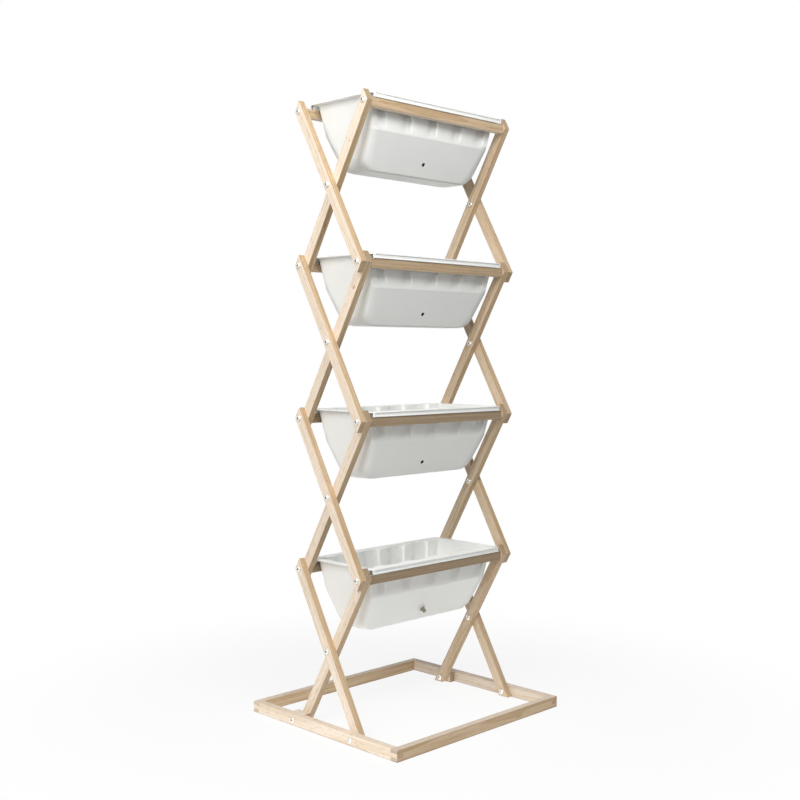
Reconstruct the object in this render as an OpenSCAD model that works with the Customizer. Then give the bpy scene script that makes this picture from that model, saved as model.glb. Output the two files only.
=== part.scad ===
// Vertical planter: a wooden scissor lattice on a flat base frame that carries four trough planters.
// X runs along the rails, Y from front to back, Z up. The origin is on the floor, under the middle.

/* [Base frame] */
// Length of the base frame, left to right
base_len = 592; // [570:1:640]
// Depth of the base frame, front to back
base_depth = 524; // [510:1:600]
// Thickness of a base board
board_t = 20; // [16:1:24]
// Height of a base board
board_h = 28; // [26:1:36]
// Length of the spacer block behind each back foot
spacer_len = 45; // [38:1:60]

/* [Lattice] */
// Distance between the two end holes of a bar
bar_pitch = 430; // [410:1:470]
// Distance between the front and the back joints
joint_depth = 210; // [190:1:230]
// Width of a bar, seen from the side
bar_w = 26; // [22:1:30]
// Thickness of a bar
bar_t = 18; // [14:1:22]
// Gap between the floor and the level cut of the feet
foot_lift = 2; // [1:0.5:4]
// Eased edge on all the timber
arris = 1; // [0.5:0.1:2]

/* [Rails] */
// Thickness of a rail, front to back
rail_t = 18; // [15:1:22]
// Height of a rail
rail_h = 22; // [19:1:28]
// Height of the rail's top above its screws
rail_rise = 8.5; // [7:0.5:10]

/* [Planters] */
// Height of a planter from its flat bottom to the top of its rim
planter_h = 169.5; // [145:0.5:190]
// Height of the fluted upper band, from its crease to the top of the rim
band_h = 78.5; // [66:0.5:86]
// How far the fluted band leans in from the rim to the crease
band_lean = 12.4; // [9:0.1:14]
// Slant of the lower front and back panels from upright, in degrees
panel_slant = 27.5; // [20:0.5:30]
// Draft of the end walls, in degrees
end_draft = 9; // [4:0.5:12]
// Thickness of the moulded walls
wall = 2.5; // [1.6:0.1:3.2]
// Corner radius of the planter at the rim, seen from above
rim_corner = 6; // [5:0.5:10]
// Corner radius of the planter at its bottom, seen from above
heel_corner = 14; // [8:0.5:18]
// Radius between the end walls and the bottom, seen from the front
heel_r = 35; // [20:1:45]

/* [Planter rim] */
// Height of the rim's top above the foot that stands on the rail
rim_rise = 12.7; // [11:0.1:16]
// Height of the rim's outer edge
edge_h = 10.5; // [8:0.1:11]
// Thickness of each lip on the rim's edge
lip_t = 2.6; // [1.8:0.1:3]
// How far the two lips stand out from the groove between them
lip_out = 2; // [1:0.1:3]
// Thickness of the rim's skirt and of the foot under it
skirt_t = 2.4; // [1.8:0.1:3]
// How far the foot stands outside the rail's inner face
foot_in = 4; // [2:0.5:6]
// How far the rim runs out past the end walls
end_flange = 15.7; // [12:0.1:20]
// How far the rim's edge stops short of the ends of its top
edge_setback = 8; // [4:0.5:12]
// Cut corner of the rim's top
rim_cut = 14; // [8:0.5:15]

/* [Flutes] */
// Number of flutes on each long side
flutes = 5; // [3:1:5]
// Distance from flute to flute
flute_pitch = 94; // [80:1:96]
// Width of a flute at its back
flute_w = 30; // [20:1:36]
// Depth of a flute at the rim
flute_d = 9.3; // [7:0.1:10]
// Draft of the sides of a flute, in degrees
flute_draft = 15; // [5:1:25]

/* [Drain] */
// Diameter of the drain hole
drain_d = 10; // [7:0.5:11]
// Height of the drain hole above the planter's bottom
drain_up = 32; // [24:0.5:40]
// Diameter of the seal under the plug
seal_d = 20; // [16:0.5:26]
// Thickness of the seal
seal_t = 2; // [1.5:0.1:3]
// Height of the plug above its seal
plug_h = 10.5; // [8:0.5:14]
// Length of the plug's stem inside the planter
stem_in = 7; // [5:0.5:10]
// Diameter of the plug's collar on the seal
collar_d = 12.6; // [12:0.2:15]
// Diameter of the plug's waist, where fingers grip it
waist_d = 7.6; // [6:0.2:9]
// Diameter of the plug's outer end
grip_d = 10.6; // [9.5:0.1:13]
// Thickness of the plug's collar and of its outer end
grip_t = 2.6; // [1.5:0.1:3.5]
// Chamfer of the plug's edges
plug_edge = 0.5; // [0.2:0.1:0.8]

/* [Fasteners] */
// Diameter of the bolt, nut and screw heads
head_d = 14.5; // [11:0.5:16]
// Height of the heads
head_h = 4.5; // [3:0.1:6]
// Height of the straight edge of the heads
head_edge = 1.8; // [1:0.1:2.5]
// Diameter of the bolt and screw shanks
shank_d = 6; // [5:0.5:7]
// Diameter of the sleeve nuts
sleeve_d = 8; // [7.5:0.5:10]
// Width across the flats of the hexagon socket in the heads
socket_af = 4; // [3:0.5:5]
// Depth of the socket
socket_depth = 2.6; // [1.5:0.1:3]
// Depth to which a rail screw goes into its rail
screw_grip = 35; // [25:1:50]
// Length of the shank of a cross bolt
cross_reach = 24; // [18:1:28]
// Length of the shank of a back base bolt
base_reach = 30; // [24:1:40]
// How far a sleeve ends short of the far side of what it holds
sleeve_short = 3; // [2:0.5:6]

/* [Fits] */
// Gap between two timbers that turn against each other
timber_gap = 0.3; // [0.2:0.05:0.6]
// Radial clearance of a shank or sleeve in the hole that turns on it
turn_gap = 0.08; // [0.03:0.01:0.1]
// Radial clearance of a fastener in a hole that doesn't turn on it
still_gap = 0.05; // [0.02:0.01:0.1]
// Gap under a head that a timber turns against
head_gap = 0.2; // [0.1:0.05:0.4]
// Gap between the rail and the rim that stands on it
rest_gap = 0.3; // [0.2:0.05:0.5]
// Clearance between the planter's wall and the top of the rail
side_play = 2.1; // [0.8:0.1:3]
// Clearance between the end of the rim and the inner bars
end_play = 1.4; // [1:0.1:4]

/* [Hidden] */
$fn = 48;
LEFT = -1;
RIGHT = 1;
FRONT = -1;
BACK = 1;
TOP_STAGE = 4;

// Side view of the lattice: the base bolts are at mid height of the boards, and each stage is as high
// as a bar's pitch allows over the depth between the joints.
bolt_z = board_h / 2;
stage_h = sqrt(bar_pitch * bar_pitch - joint_depth * joint_depth);
lean = asin(joint_depth / bar_pitch);
joint_y = joint_depth / 2;
function level(k) = bolt_z + k * stage_h;
function crossing(k) = bolt_z + (k - 0.5) * stage_h;

// Two crossed bars share a diamond at their joint. These are half its height and half its width.
tip_z = bar_w / 2 / sin(lean);
tip_y = bar_w / 2 / cos(lean);

// Layers from the side board inwards, as distances from the middle
board_in = base_len / 2 - board_t;
outer_out = board_in - timber_gap;
outer_in = outer_out - bar_t;
inner_out = outer_in - timber_gap;
inner_in = inner_out - bar_t;
rail_end = inner_in - timber_gap;
long_rail_end = outer_in - timber_gap;

// Rim and shell of a planter, as half sizes, with heights above the level of the rail's screws
foot_z = rail_rise + rest_gap;
rim_top = foot_z + rim_rise;
edge_z = rim_top - edge_h;
rim_x = inner_in - end_play;
rim_y = joint_y + rail_t / 2 + lip_out;
shell_x = rim_x - end_flange;
rail_in = joint_y - rail_t / 2;
shell_y = rail_in - side_play + (rim_top - rail_rise) * band_lean / band_h;
crease_z = rim_top - band_h;
bottom_z = rim_top - planter_h;
flute_back = shell_y - flute_d;
drain_z = bottom_z + drain_up;
band_slant = atan(band_lean / band_h);

// Half length of the shell at height z, with its end walls drafted and rounded into the bottom
heel_z = bottom_z + heel_r;
heel_x = shell_x - (rim_top - heel_z) * tan(end_draft) - heel_r / cos(end_draft);
function straight_x(z) = shell_x - (rim_top - z) * tan(end_draft);
// Half depth of the shell at height z: the fluted band, and the slanted panel under the crease
function band_y(z) = shell_y - (rim_top - z) * band_lean / band_h;
function panel_y(z) = shell_y - band_lean - (crease_z - z) * tan(panel_slant);
function shell_half_y(z) = z > crease_z ? band_y(z) : panel_y(z);
// Corner radius at height z, seen from above
function corner_at(z) = heel_corner + (rim_corner - heel_corner) * (z - bottom_z) / planter_h;

timber_pale = [0.90, 0.80, 0.66];
timber_warm = [0.84, 0.72, 0.56];
shell_white = [0.93, 0.93, 0.92];
zinc = [0.80, 0.80, 0.79];
seal_pale = [0.88, 0.88, 0.85];
plug_grey = [0.47, 0.44, 0.37];

// Timber with eased edges, along Z, centred
module timber(a, b, len) {
    linear_extrude(height = len, center = true)
        polygon([
            [-a / 2 + arris, -b / 2], [a / 2 - arris, -b / 2], [a / 2, -b / 2 + arris],
            [a / 2, b / 2 - arris], [a / 2 - arris, b / 2], [-a / 2 + arris, b / 2],
            [-a / 2, b / 2 - arris], [-a / 2, -b / 2 + arris]
        ]);
}

// A hole along X, centred
module hole_x(d, len) {
    rotate([0, 90, 0]) cylinder(d = d, h = len, center = true);
}

// Board along Y at the left or right. Its middle third is a finger that shows on the front and the back.
module side_board(side) {
    color(timber_pale) difference() {
        translate([side * (board_in + board_t / 2), 0, board_h / 2])
            rotate([90, 0, 0]) timber(board_t, board_h, base_depth);
        for (end = [FRONT, BACK], third = [0, 2])
            translate([side * (board_in + board_t / 2), end * base_depth / 2, (third + 0.5) * board_h / 3])
                cube([board_t + 1, 2 * board_t, board_h / 3 + 2 * still_gap], center = true);
        translate([side * (board_in + board_t / 2), BACK * joint_y, bolt_z])
            hole_x(sleeve_d + 2 * still_gap, board_t + 2);
        translate([side * (board_in + board_t / 2), FRONT * joint_y, bolt_z])
            hole_x(shank_d + 2 * still_gap, board_t + 2);
    }
}

// Board along X at the front or back, with a notch at each end for the side board's finger
module end_board(end) {
    color(timber_warm) difference() {
        translate([0, end * (base_depth - board_t) / 2, board_h / 2])
            rotate([0, 90, 0]) timber(board_h, board_t, base_len);
        for (side = [LEFT, RIGHT])
            translate([side * base_len / 2, end * (base_depth - board_t) / 2, board_h / 2])
                cube([2 * board_t, board_t + 1, board_h / 3], center = true);
    }
}

// Block that fills the outer bar's layer behind a back foot
module spacer(side) {
    color(timber_pale) difference() {
        translate([side * (outer_in + board_in) / 2, BACK * joint_y, board_h / 2])
            rotate([90, 0, 0]) timber(board_in - outer_in, board_h, spacer_len);
        translate([side * (outer_in + board_in) / 2, BACK * joint_y, bolt_z])
            hole_x(sleeve_d + 2 * still_gap, board_t + bar_t);
    }
}

// Outline of a bar in the side view. Its ends are flush with the edges of the bars that cross it there,
// and the ends of the lowest bars are cut level, just clear of the floor.
function bar_outline(k, to_back) =
    let (
        low = [-to_back * joint_y, level(k - 1)],
        high = [to_back * joint_y, level(k)],
        drop = bolt_z - foot_lift
    )
    k > 1 ? [
        high + [0, tip_z], high + [to_back * tip_y, 0],
        low - [0, tip_z], low - [to_back * tip_y, 0]
    ] : [
        high + [0, tip_z], high + [to_back * tip_y, 0],
        low + [to_back * (tip_y - drop * tan(lean)), -drop],
        low + [-to_back * (tip_y + drop * tan(lean)), -drop]
    ];

// A bar of stage k whose top leans towards the back (to_back = 1) or the front (to_back = -1)
module bar(side, k, to_back, x_in, low_hole) {
    x_mid = side * (x_in + bar_t / 2);
    difference() {
        intersection() {
            translate([x_mid - bar_t, 0, 0]) rotate([90, 0, 90])
                linear_extrude(height = 2 * bar_t) polygon(bar_outline(k, to_back));
            translate([x_mid, 0, crossing(k)]) rotate([-to_back * lean, 0, 0])
                timber(bar_t, bar_w, bar_pitch + 4 * tip_z);
        }
        translate([x_mid, -to_back * joint_y, level(k - 1)]) hole_x(low_hole, bar_t + 2);
        translate([x_mid, 0, crossing(k)]) hole_x(sleeve_d + 2 * turn_gap, bar_t + 2);
        translate([x_mid, to_back * joint_y, level(k)]) hole_x(shank_d + 2 * turn_gap, bar_t + 2);
    }
}

module outer_bar(side, k) {
    color(timber_pale)
        bar(side, k, 1, outer_in, k == 1 ? sleeve_d + 2 * still_gap : shank_d + 2 * turn_gap);
}

module inner_bar(side, k) {
    color(timber_warm)
        bar(side, k, -1, inner_in, k == 1 ? sleeve_d + 2 * turn_gap : shank_d + 2 * turn_gap);
}

// A rail between the lattice's two sides. The topmost back rail reaches the outer bars.
module rail(end, k, half_len) {
    color(timber_warm) difference() {
        translate([0, end * joint_y, level(k) + rail_rise - rail_h / 2])
            rotate([0, 90, 0]) timber(rail_h, rail_t, 2 * half_len);
        for (side = [LEFT, RIGHT])
            translate([side * half_len, end * joint_y, level(k)])
                hole_x(shank_d + 2 * still_gap, 2 * screw_grip + 2);
    }
}

module front_rail(k) {
    rail(FRONT, k, rail_end);
}

module back_rail(k) {
    rail(BACK, k, k == TOP_STAGE ? long_rail_end : rail_end);
}

// Domed head with a hexagon socket, standing on z = 0
module head() {
    dome_h = head_h - head_edge;
    dome_r = (head_d * head_d / 4 + dome_h * dome_h) / (2 * dome_h);
    difference() {
        intersection() {
            cylinder(d = head_d, h = head_h);
            translate([0, 0, head_h - dome_r]) sphere(r = dome_r);
        }
        translate([0, 0, head_h - socket_depth])
            cylinder(d = socket_af / cos(30), h = socket_depth + 1, $fn = 6);
    }
}

// Puts a fastener on a side of the lattice: its +Z points outwards from x, or inwards
module facing_out(side, x, y, z) {
    translate([side * x, y, z]) rotate([0, side * 90, 0]) children();
}

module facing_in(side, x, y, z) {
    translate([side * x, y, z]) rotate([0, -side * 90, 0]) children();
}

// Bolt or screw: a head on z = 0 and a plain shank below it
module bolt(len) {
    head();
    translate([0, 0, -len]) cylinder(d = shank_d, h = len);
}

// Sleeve nut: a head on z = 0 and a sleeve below it, bored for the bolt
module sleeve_nut(len, bore_len) {
    difference() {
        union() {
            head();
            translate([0, 0, -len]) cylinder(d = sleeve_d, h = len);
        }
        translate([0, 0, -len - 1]) cylinder(d = shank_d + 2 * still_gap, h = bore_len + 1);
    }
}

// Bolts and sleeve nuts at the crossings. The sleeve carries both bars, and the bolt goes into it.
cross_grip = outer_out - inner_in + head_gap;
module cross_bolts(k) {
    color(zinc) for (side = [LEFT, RIGHT])
        facing_out(side, outer_out + head_gap, 0, crossing(k)) bolt(cross_reach);
}

module cross_nuts(k) {
    color(zinc) for (side = [LEFT, RIGHT])
        facing_in(side, inner_in, 0, crossing(k)) sleeve_nut(cross_grip - sleeve_short, cross_reach);
}

// Screws through the bars into the ends of a rail, with their heads on the outermost bar
module rail_screws(end, k, head_x, half_len) {
    color(zinc) for (side = [LEFT, RIGHT])
        facing_out(side, head_x + head_gap, end * joint_y, level(k))
            bolt(head_x + head_gap - half_len + screw_grip);
}

module front_rail_screws(k) {
    rail_screws(FRONT, k, k == TOP_STAGE ? inner_out : outer_out, rail_end);
}

module back_rail_screws(k) {
    rail_screws(BACK, k, outer_out, k == TOP_STAGE ? long_rail_end : rail_end);
}

// Base bolts: at the back they go through the board and the spacer into the sleeve in the foot, and at
// the front each bolt ends at the board's inner face, where the foot's own sleeve starts.
back_grip = base_len / 2 - inner_in;
module base_back_bolts() {
    color(zinc) for (side = [LEFT, RIGHT])
        facing_out(side, base_len / 2, BACK * joint_y, bolt_z) bolt(base_reach);
}

module base_back_nuts() {
    color(zinc) for (side = [LEFT, RIGHT])
        facing_in(side, inner_in - head_gap, BACK * joint_y, bolt_z)
            sleeve_nut(back_grip - sleeve_short, base_reach);
}

module base_front_bolts() {
    color(zinc) for (side = [LEFT, RIGHT])
        facing_out(side, base_len / 2, FRONT * joint_y, bolt_z) bolt(board_t);
}

module base_front_nuts() {
    color(zinc) for (side = [LEFT, RIGHT])
        facing_in(side, outer_in, FRONT * joint_y, bolt_z) sleeve_nut(bar_t, bar_t - sleeve_short);
}

// One level section of the shell, as a thin rounded plate
section_t = 0.01;
module section(half_x, half_y, r, z) {
    for (x = [-1, 1], y = [-1, 1])
        translate([x * (half_x - r), y * (half_y - r), z]) cylinder(r = r, h = section_t, $fn = 28);
}

// Solid form of the shell, inset by the wall for the cavity. One hull joins its sections: the rim, the
// crease, and the steps of the rounding between the end walls and the bottom.
heel_steps = 7;
module shell_form(inset, top) {
    radius = heel_r - inset;
    hull() {
        for (z = [top, crease_z])
            section(straight_x(z) - inset / cos(end_draft), band_y(z) - inset / cos(band_slant),
                corner_at(z) - inset, z);
        for (i = [0:heel_steps]) {
            turn = end_draft + (90 - end_draft) * i / heel_steps;
            z = heel_z - radius * sin(turn);
            section(heel_x + radius * cos(turn), panel_y(z) - inset / cos(panel_slant),
                corner_at(z) - inset, z);
        }
    }
}

// The upright prisms that sink the flutes into the long sides, grown by the wall inside the shell
module flute_prisms(grow) {
    reach = 4 * flute_d;
    half = flute_w / 2 + grow / cos(flute_draft) - grow * tan(flute_draft);
    first = -(flutes - 1) / 2;
    for (end = [FRONT, BACK], i = [0:flutes - 1])
        translate([(first + i) * flute_pitch, end * (flute_back - grow), crease_z - wall])
            linear_extrude(height = band_h + 2 * wall)
                polygon([
                    [-half, 0], [half, 0],
                    [half + reach * tan(flute_draft), end * reach],
                    [-half - reach * tan(flute_draft), end * reach]
                ]);
}

// Plan of the rim with its cut corners, drawn in by a margin
module rim_plan(margin) {
    x = rim_x - margin;
    y = rim_y - margin;
    polygon([
        [x - rim_cut, -y], [x, -y + rim_cut], [x, y - rim_cut], [x - rim_cut, y],
        [-x + rim_cut, y], [-x, y - rim_cut], [-x, -y + rim_cut], [-x + rim_cut, -y]
    ]);
}

// One run of the rim along each rail, between two margins from the rim's plan
module rim_run(outer, inner, z, height) {
    translate([0, 0, z]) intersection() {
        linear_extrude(height = height) difference() {
            rim_plan(outer);
            rim_plan(inner);
        }
        for (end = [FRONT, BACK])
            translate([0, end * (rim_y - (outer + inner) / 2), height / 2])
                cube([2 * (rim_x - edge_setback), inner - outer + 1, 2 * height], center = true);
    }
}

// Edge of the rim along the long sides: a skirt with a lip at its bottom, and a foot on the rail
module rim_edge() {
    foot_margin = rim_y - rail_in - foot_in - skirt_t;
    rim_run(lip_out, lip_out + skirt_t, edge_z, edge_h - lip_t / 2);
    rim_run(0, lip_out + skirt_t, edge_z, lip_t);
    rim_run(foot_margin, foot_margin + skirt_t, foot_z, rim_rise - lip_t / 2);
}

module drain_frame() {
    translate([0, FRONT * panel_y(drain_z), drain_z]) rotate([90 + panel_slant, 0, 0]) children();
}

module planter_shell() {
    difference() {
        union() {
            difference() {
                shell_form(0, rim_top - section_t);
                flute_prisms(0);
            }
            translate([0, 0, rim_top - lip_t]) linear_extrude(height = lip_t) rim_plan(0);
            rim_edge();
        }
        difference() {
            shell_form(wall, rim_top + wall);
            flute_prisms(wall);
        }
        drain_frame() cylinder(d = drain_d, h = 6 * wall, center = true);
    }
}

module planter(k) {
    color(shell_white) translate([0, 0, level(k)]) planter_shell();
}

// Plug of the lowest planter: a seal on the wall and a waisted plug through it
module drain_seal() {
    color(seal_pale) translate([0, 0, level(1)]) drain_frame()
        translate([0, 0, timber_gap]) difference() {
            cylinder(d = seal_d, h = seal_t);
            translate([0, 0, -1]) cylinder(d = drain_d - 2 * turn_gap + 2 * still_gap, h = seal_t + 2);
        }
}

// Half section of the plug: the stem through the wall, the collar on the seal, the waist and the outer end
function plug_section(base_z) =
    let (stem_r = drain_d / 2 - turn_gap, collar_r = collar_d / 2, grip_r = grip_d / 2, top = base_z + plug_h)
    [
        [0, -wall - stem_in], [stem_r - plug_edge, -wall - stem_in], [stem_r, plug_edge - wall - stem_in],
        [stem_r, base_z], [collar_r, base_z], [collar_r, base_z + grip_t - plug_edge],
        [collar_r - plug_edge, base_z + grip_t], [waist_d / 2, base_z + plug_h / 2],
        [grip_r, top - grip_t], [grip_r, top - plug_edge], [grip_r - plug_edge, top], [0, top]
    ];

module drain_plug() {
    color(plug_grey) translate([0, 0, level(1)]) drain_frame()
        rotate_extrude() polygon(plug_section(timber_gap + seal_t));
}

end_board(FRONT);  // base_front_board
end_board(BACK);  // base_back_board
side_board(LEFT);  // base_left_board
side_board(RIGHT);  // base_right_board
spacer(LEFT);  // spacer_left
spacer(RIGHT);  // spacer_right
outer_bar(LEFT, 1);  // outer_bar_left_1
outer_bar(LEFT, 2);  // outer_bar_left_2
outer_bar(LEFT, 3);  // outer_bar_left_3
outer_bar(LEFT, 4);  // outer_bar_left_4
outer_bar(RIGHT, 1);  // outer_bar_right_1
outer_bar(RIGHT, 2);  // outer_bar_right_2
outer_bar(RIGHT, 3);  // outer_bar_right_3
outer_bar(RIGHT, 4);  // outer_bar_right_4
inner_bar(LEFT, 1);  // inner_bar_left_1
inner_bar(LEFT, 2);  // inner_bar_left_2
inner_bar(LEFT, 3);  // inner_bar_left_3
inner_bar(LEFT, 4);  // inner_bar_left_4
inner_bar(RIGHT, 1);  // inner_bar_right_1
inner_bar(RIGHT, 2);  // inner_bar_right_2
inner_bar(RIGHT, 3);  // inner_bar_right_3
inner_bar(RIGHT, 4);  // inner_bar_right_4
front_rail(1);  // front_rail_1
front_rail(2);  // front_rail_2
front_rail(3);  // front_rail_3
front_rail(4);  // front_rail_4
back_rail(1);  // back_rail_1
back_rail(2);  // back_rail_2
back_rail(3);  // back_rail_3
back_rail(4);  // back_rail_4
planter(1);  // planter_1
planter(2);  // planter_2
planter(3);  // planter_3
planter(4);  // planter_4
drain_seal();
drain_plug();
cross_bolts(1);  // cross_bolts_1
cross_bolts(2);  // cross_bolts_2
cross_bolts(3);  // cross_bolts_3
cross_bolts(4);  // cross_bolts_4
cross_nuts(1);  // cross_nuts_1
cross_nuts(2);  // cross_nuts_2
cross_nuts(3);  // cross_nuts_3
cross_nuts(4);  // cross_nuts_4
front_rail_screws(1);  // front_rail_screws_1
front_rail_screws(2);  // front_rail_screws_2
front_rail_screws(3);  // front_rail_screws_3
front_rail_screws(4);  // front_rail_screws_4
back_rail_screws(1);  // back_rail_screws_1
back_rail_screws(2);  // back_rail_screws_2
back_rail_screws(3);  // back_rail_screws_3
back_rail_screws(4);  // back_rail_screws_4
base_back_bolts();
base_back_nuts();
base_front_bolts();
base_front_nuts();
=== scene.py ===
"""Looks of a vertical planter: two scissor lattices on a base frame, with four trough planters.

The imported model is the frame. This script dresses it: laths, rails and boards get eased edges and grain that
follows each stick, the troughs are moulded shells with rounded corners, and the fasteners get domed heads.
X runs along the rails, Y from front to back, Z up. Sizes are in millimetres and meshes in metres.
"""

import logging
import math
import random
from collections.abc import Iterable
from dataclasses import dataclass, field
from enum import Enum
from typing import ClassVar

import bmesh
import bpy
from bmesh.types import BMesh
from bpy.types import Material, Mesh, MeshPolygon, NodeOutputs, NodeSocket, NodeTree, Object
from mathutils import Euler, Matrix, Vector
from mathutils.bvhtree import BVHTree
from mathutils.interpolate import poly_3d_calc


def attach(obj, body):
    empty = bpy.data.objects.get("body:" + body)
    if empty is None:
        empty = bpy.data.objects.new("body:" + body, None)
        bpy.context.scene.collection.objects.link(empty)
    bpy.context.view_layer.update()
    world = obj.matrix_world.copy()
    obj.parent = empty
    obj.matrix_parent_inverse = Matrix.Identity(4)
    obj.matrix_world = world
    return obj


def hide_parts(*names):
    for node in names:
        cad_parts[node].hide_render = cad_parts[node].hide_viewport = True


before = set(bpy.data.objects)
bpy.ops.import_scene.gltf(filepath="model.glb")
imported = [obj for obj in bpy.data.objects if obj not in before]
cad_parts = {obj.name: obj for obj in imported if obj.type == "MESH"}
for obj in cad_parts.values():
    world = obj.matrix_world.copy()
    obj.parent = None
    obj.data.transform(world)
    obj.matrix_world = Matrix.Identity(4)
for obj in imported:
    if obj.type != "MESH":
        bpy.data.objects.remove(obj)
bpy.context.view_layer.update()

MM = 0.001
STAGES = 4
NOISE_SPAN = (0.3, 0.7)  # noise mostly lies between these
SMOOTH = "SMOOTHSTEP"
WAVE_PHASE = 20  # radians by which Blender's wave turns along one unit, at scale 1
EDGE_ANGLE = 35  # degrees between two faces, from which their edge is rounded
SHARP_ANGLE = 50  # degrees, from which an edge of timber is shaded sharp
FACES_END = 0.8  # least share of a face's normal along the grain, for end grain
FACES_FRONT = 0.7  # least share of it along Y, for the edge of a board
Source = NodeSocket | float | tuple[float, ...] | list[NodeSocket]
Outline = list[tuple[float, float]]
log = logging.getLogger("vertical_planter")


class Side(Enum):
    """Left or right half of the stand, seen from the front."""

    LEFT = -1
    RIGHT = 1


class Lean(Enum):
    """The way a lath leans: outer laths go up to the back, inner laths go up to the front."""

    TO_BACK = 1
    TO_FRONT = -1


class Run(Enum):
    """The axis that a board runs along."""

    ALONG_X = 0
    ALONG_Y = 1


class Slot(Enum):
    """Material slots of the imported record."""

    TIMBER = "timber"
    PLASTIC = "planter_plastic"
    ZINC = "zinc"
    SEAL = "seal"
    PLUG = "plug"


# Meshes


def mesh_object(name: str, mesh: Mesh) -> Object:
    """Put a mesh in the scene as an object at the origin.

    Args:
        name: The object's name.
        mesh: Its mesh.

    Returns:
        The object.
    """
    piece = bpy.data.objects.new(name, mesh)
    bpy.context.scene.collection.objects.link(piece)
    return piece


def as_mesh(solid: BMesh, name: str) -> Mesh:
    """Turn a solid into a mesh, and free the solid.

    Args:
        solid: The solid.
        name: The mesh's name.

    Returns:
        The mesh.
    """
    mesh = bpy.data.meshes.new(name)
    solid.to_mesh(mesh)
    solid.free()
    return mesh


def settle(piece: Object) -> Object:
    """Turn what the modifiers make into the object's own plain mesh, and remove them.

    Args:
        piece: An object with live modifiers.

    Returns:
        The same object.
    """
    graph = bpy.context.evaluated_depsgraph_get()
    plain = bpy.data.meshes.new_from_object(piece.evaluated_get(graph))
    plain.name = piece.name
    piece.modifiers.clear()
    piece.data = plain
    return piece


def skinned(rows: list[list[Vector]], looped: bool = False) -> BMesh:
    """Join rows of points, each of which goes round the form, into one closed skin.

    Args:
        rows: The rows, in millimetres, all with the same number of points.
        looped: Whether the last row is joined to the first. If not, both are closed by a face.

    Returns:
        The solid, in metres.
    """
    solid = bmesh.new()
    rings = [[solid.verts.new(point) for point in row] for row in rows]
    if not looped:
        solid.faces.new(rings[0])
        solid.faces.new(rings[-1])
    for low, high in zip(rings, rings[1:] + rings[:1] if looped else rings[1:]):
        for i, start in enumerate(low):
            j = (i + 1) % len(low)
            solid.faces.new([start, low[j], high[j], high[i]])
    bmesh.ops.remove_doubles(solid, verts=solid.verts, dist=0.01)
    bmesh.ops.recalc_face_normals(solid, faces=solid.faces)
    bmesh.ops.scale(solid, vec=Vector((MM, MM, MM)), verts=solid.verts)
    return solid


def extruded(name: str, outline: Outline, run: Run, low: float, high: float) -> Object:
    """Extrude a side outline into a solid.

    Args:
        name: Name of the piece.
        outline: Corners in millimetres: (x, z) for a board along X, (y, z) for one along Y.
        run: The board's own axis, which the outline's first coordinate follows.
        low: Where the solid starts across the outline, in millimetres.
        high: Where it ends.

    Returns:
        The solid as an object.
    """
    rows = []
    for across in (low, high):
        rows.append([Vector((p, across, z) if run is Run.ALONG_X else (across, p, z)) for p, z in outline])
    return mesh_object(name, as_mesh(skinned(rows), name))


def carry_over(whole: Mesh, cut: Mesh) -> None:
    """Give the points of a cut mesh the numbers that the whole mesh had in the same places.

    Args:
        whole: The mesh before the cut.
        cut: The mesh after it, whose new points have no numbers yet.
    """
    corners = [face.vertices for face in whole.polygons]
    surface = BVHTree.FromPolygons([v.co for v in whole.vertices], corners)
    parts = {"FLOAT": "value", "FLOAT_VECTOR": "vector"}
    carried = [(a.name, parts[a.data_type]) for a in whole.attributes
               if a.domain == "POINT" and a.data_type in parts and a.name != "position"]
    for point in cut.vertices if carried else ():
        nearest = corners[surface.find_nearest(point.co)[2]]
        shares = poly_3d_calc([whole.vertices[i].co for i in nearest], point.co)
        for name, part in carried:
            given = [getattr(whole.attributes[name].data[i], part) for i in nearest]
            total = sum((value * share for value, share in zip(given[1:], shares[1:])), given[0] * shares[0])
            setattr(cut.attributes[name].data[point.index], part, total)


@dataclass(frozen=True)
class Bore:
    """A round hole through a piece, or a round boss on it, in millimetres."""

    centre: tuple[float, float, float]
    diameter: float
    reach: float = 40.0
    axis: tuple[float, float, float] = (1.0, 0.0, 0.0)
    segments: int = 32

    def cut(self, piece: Object, operation: str = "DIFFERENCE") -> None:
        """Drill the hole, or add the boss.

        Args:
            piece: The piece, as a closed mesh.
            operation: "DIFFERENCE" for a hole, "UNION" for a boss.
        """
        drill = bmesh.new()
        turn = Vector((0, 0, 1)).rotation_difference(Vector(self.axis)).to_matrix().to_4x4()
        radius = self.diameter / 2 * MM
        bmesh.ops.create_cone(
            drill, cap_ends=True, segments=self.segments, radius1=radius, radius2=radius,
            depth=self.reach * MM, matrix=Matrix.Translation(Vector(self.centre) * MM) @ turn,
        )
        cutter = mesh_object("drill", as_mesh(drill, "drill"))
        cut = piece.modifiers.new("bore", "BOOLEAN")
        cut.operation = operation
        cut.solver = "EXACT"
        cut.object = cutter
        whole = piece.data
        settle(piece)
        carry_over(whole, piece.data)
        bpy.data.objects.remove(cutter)


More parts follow.
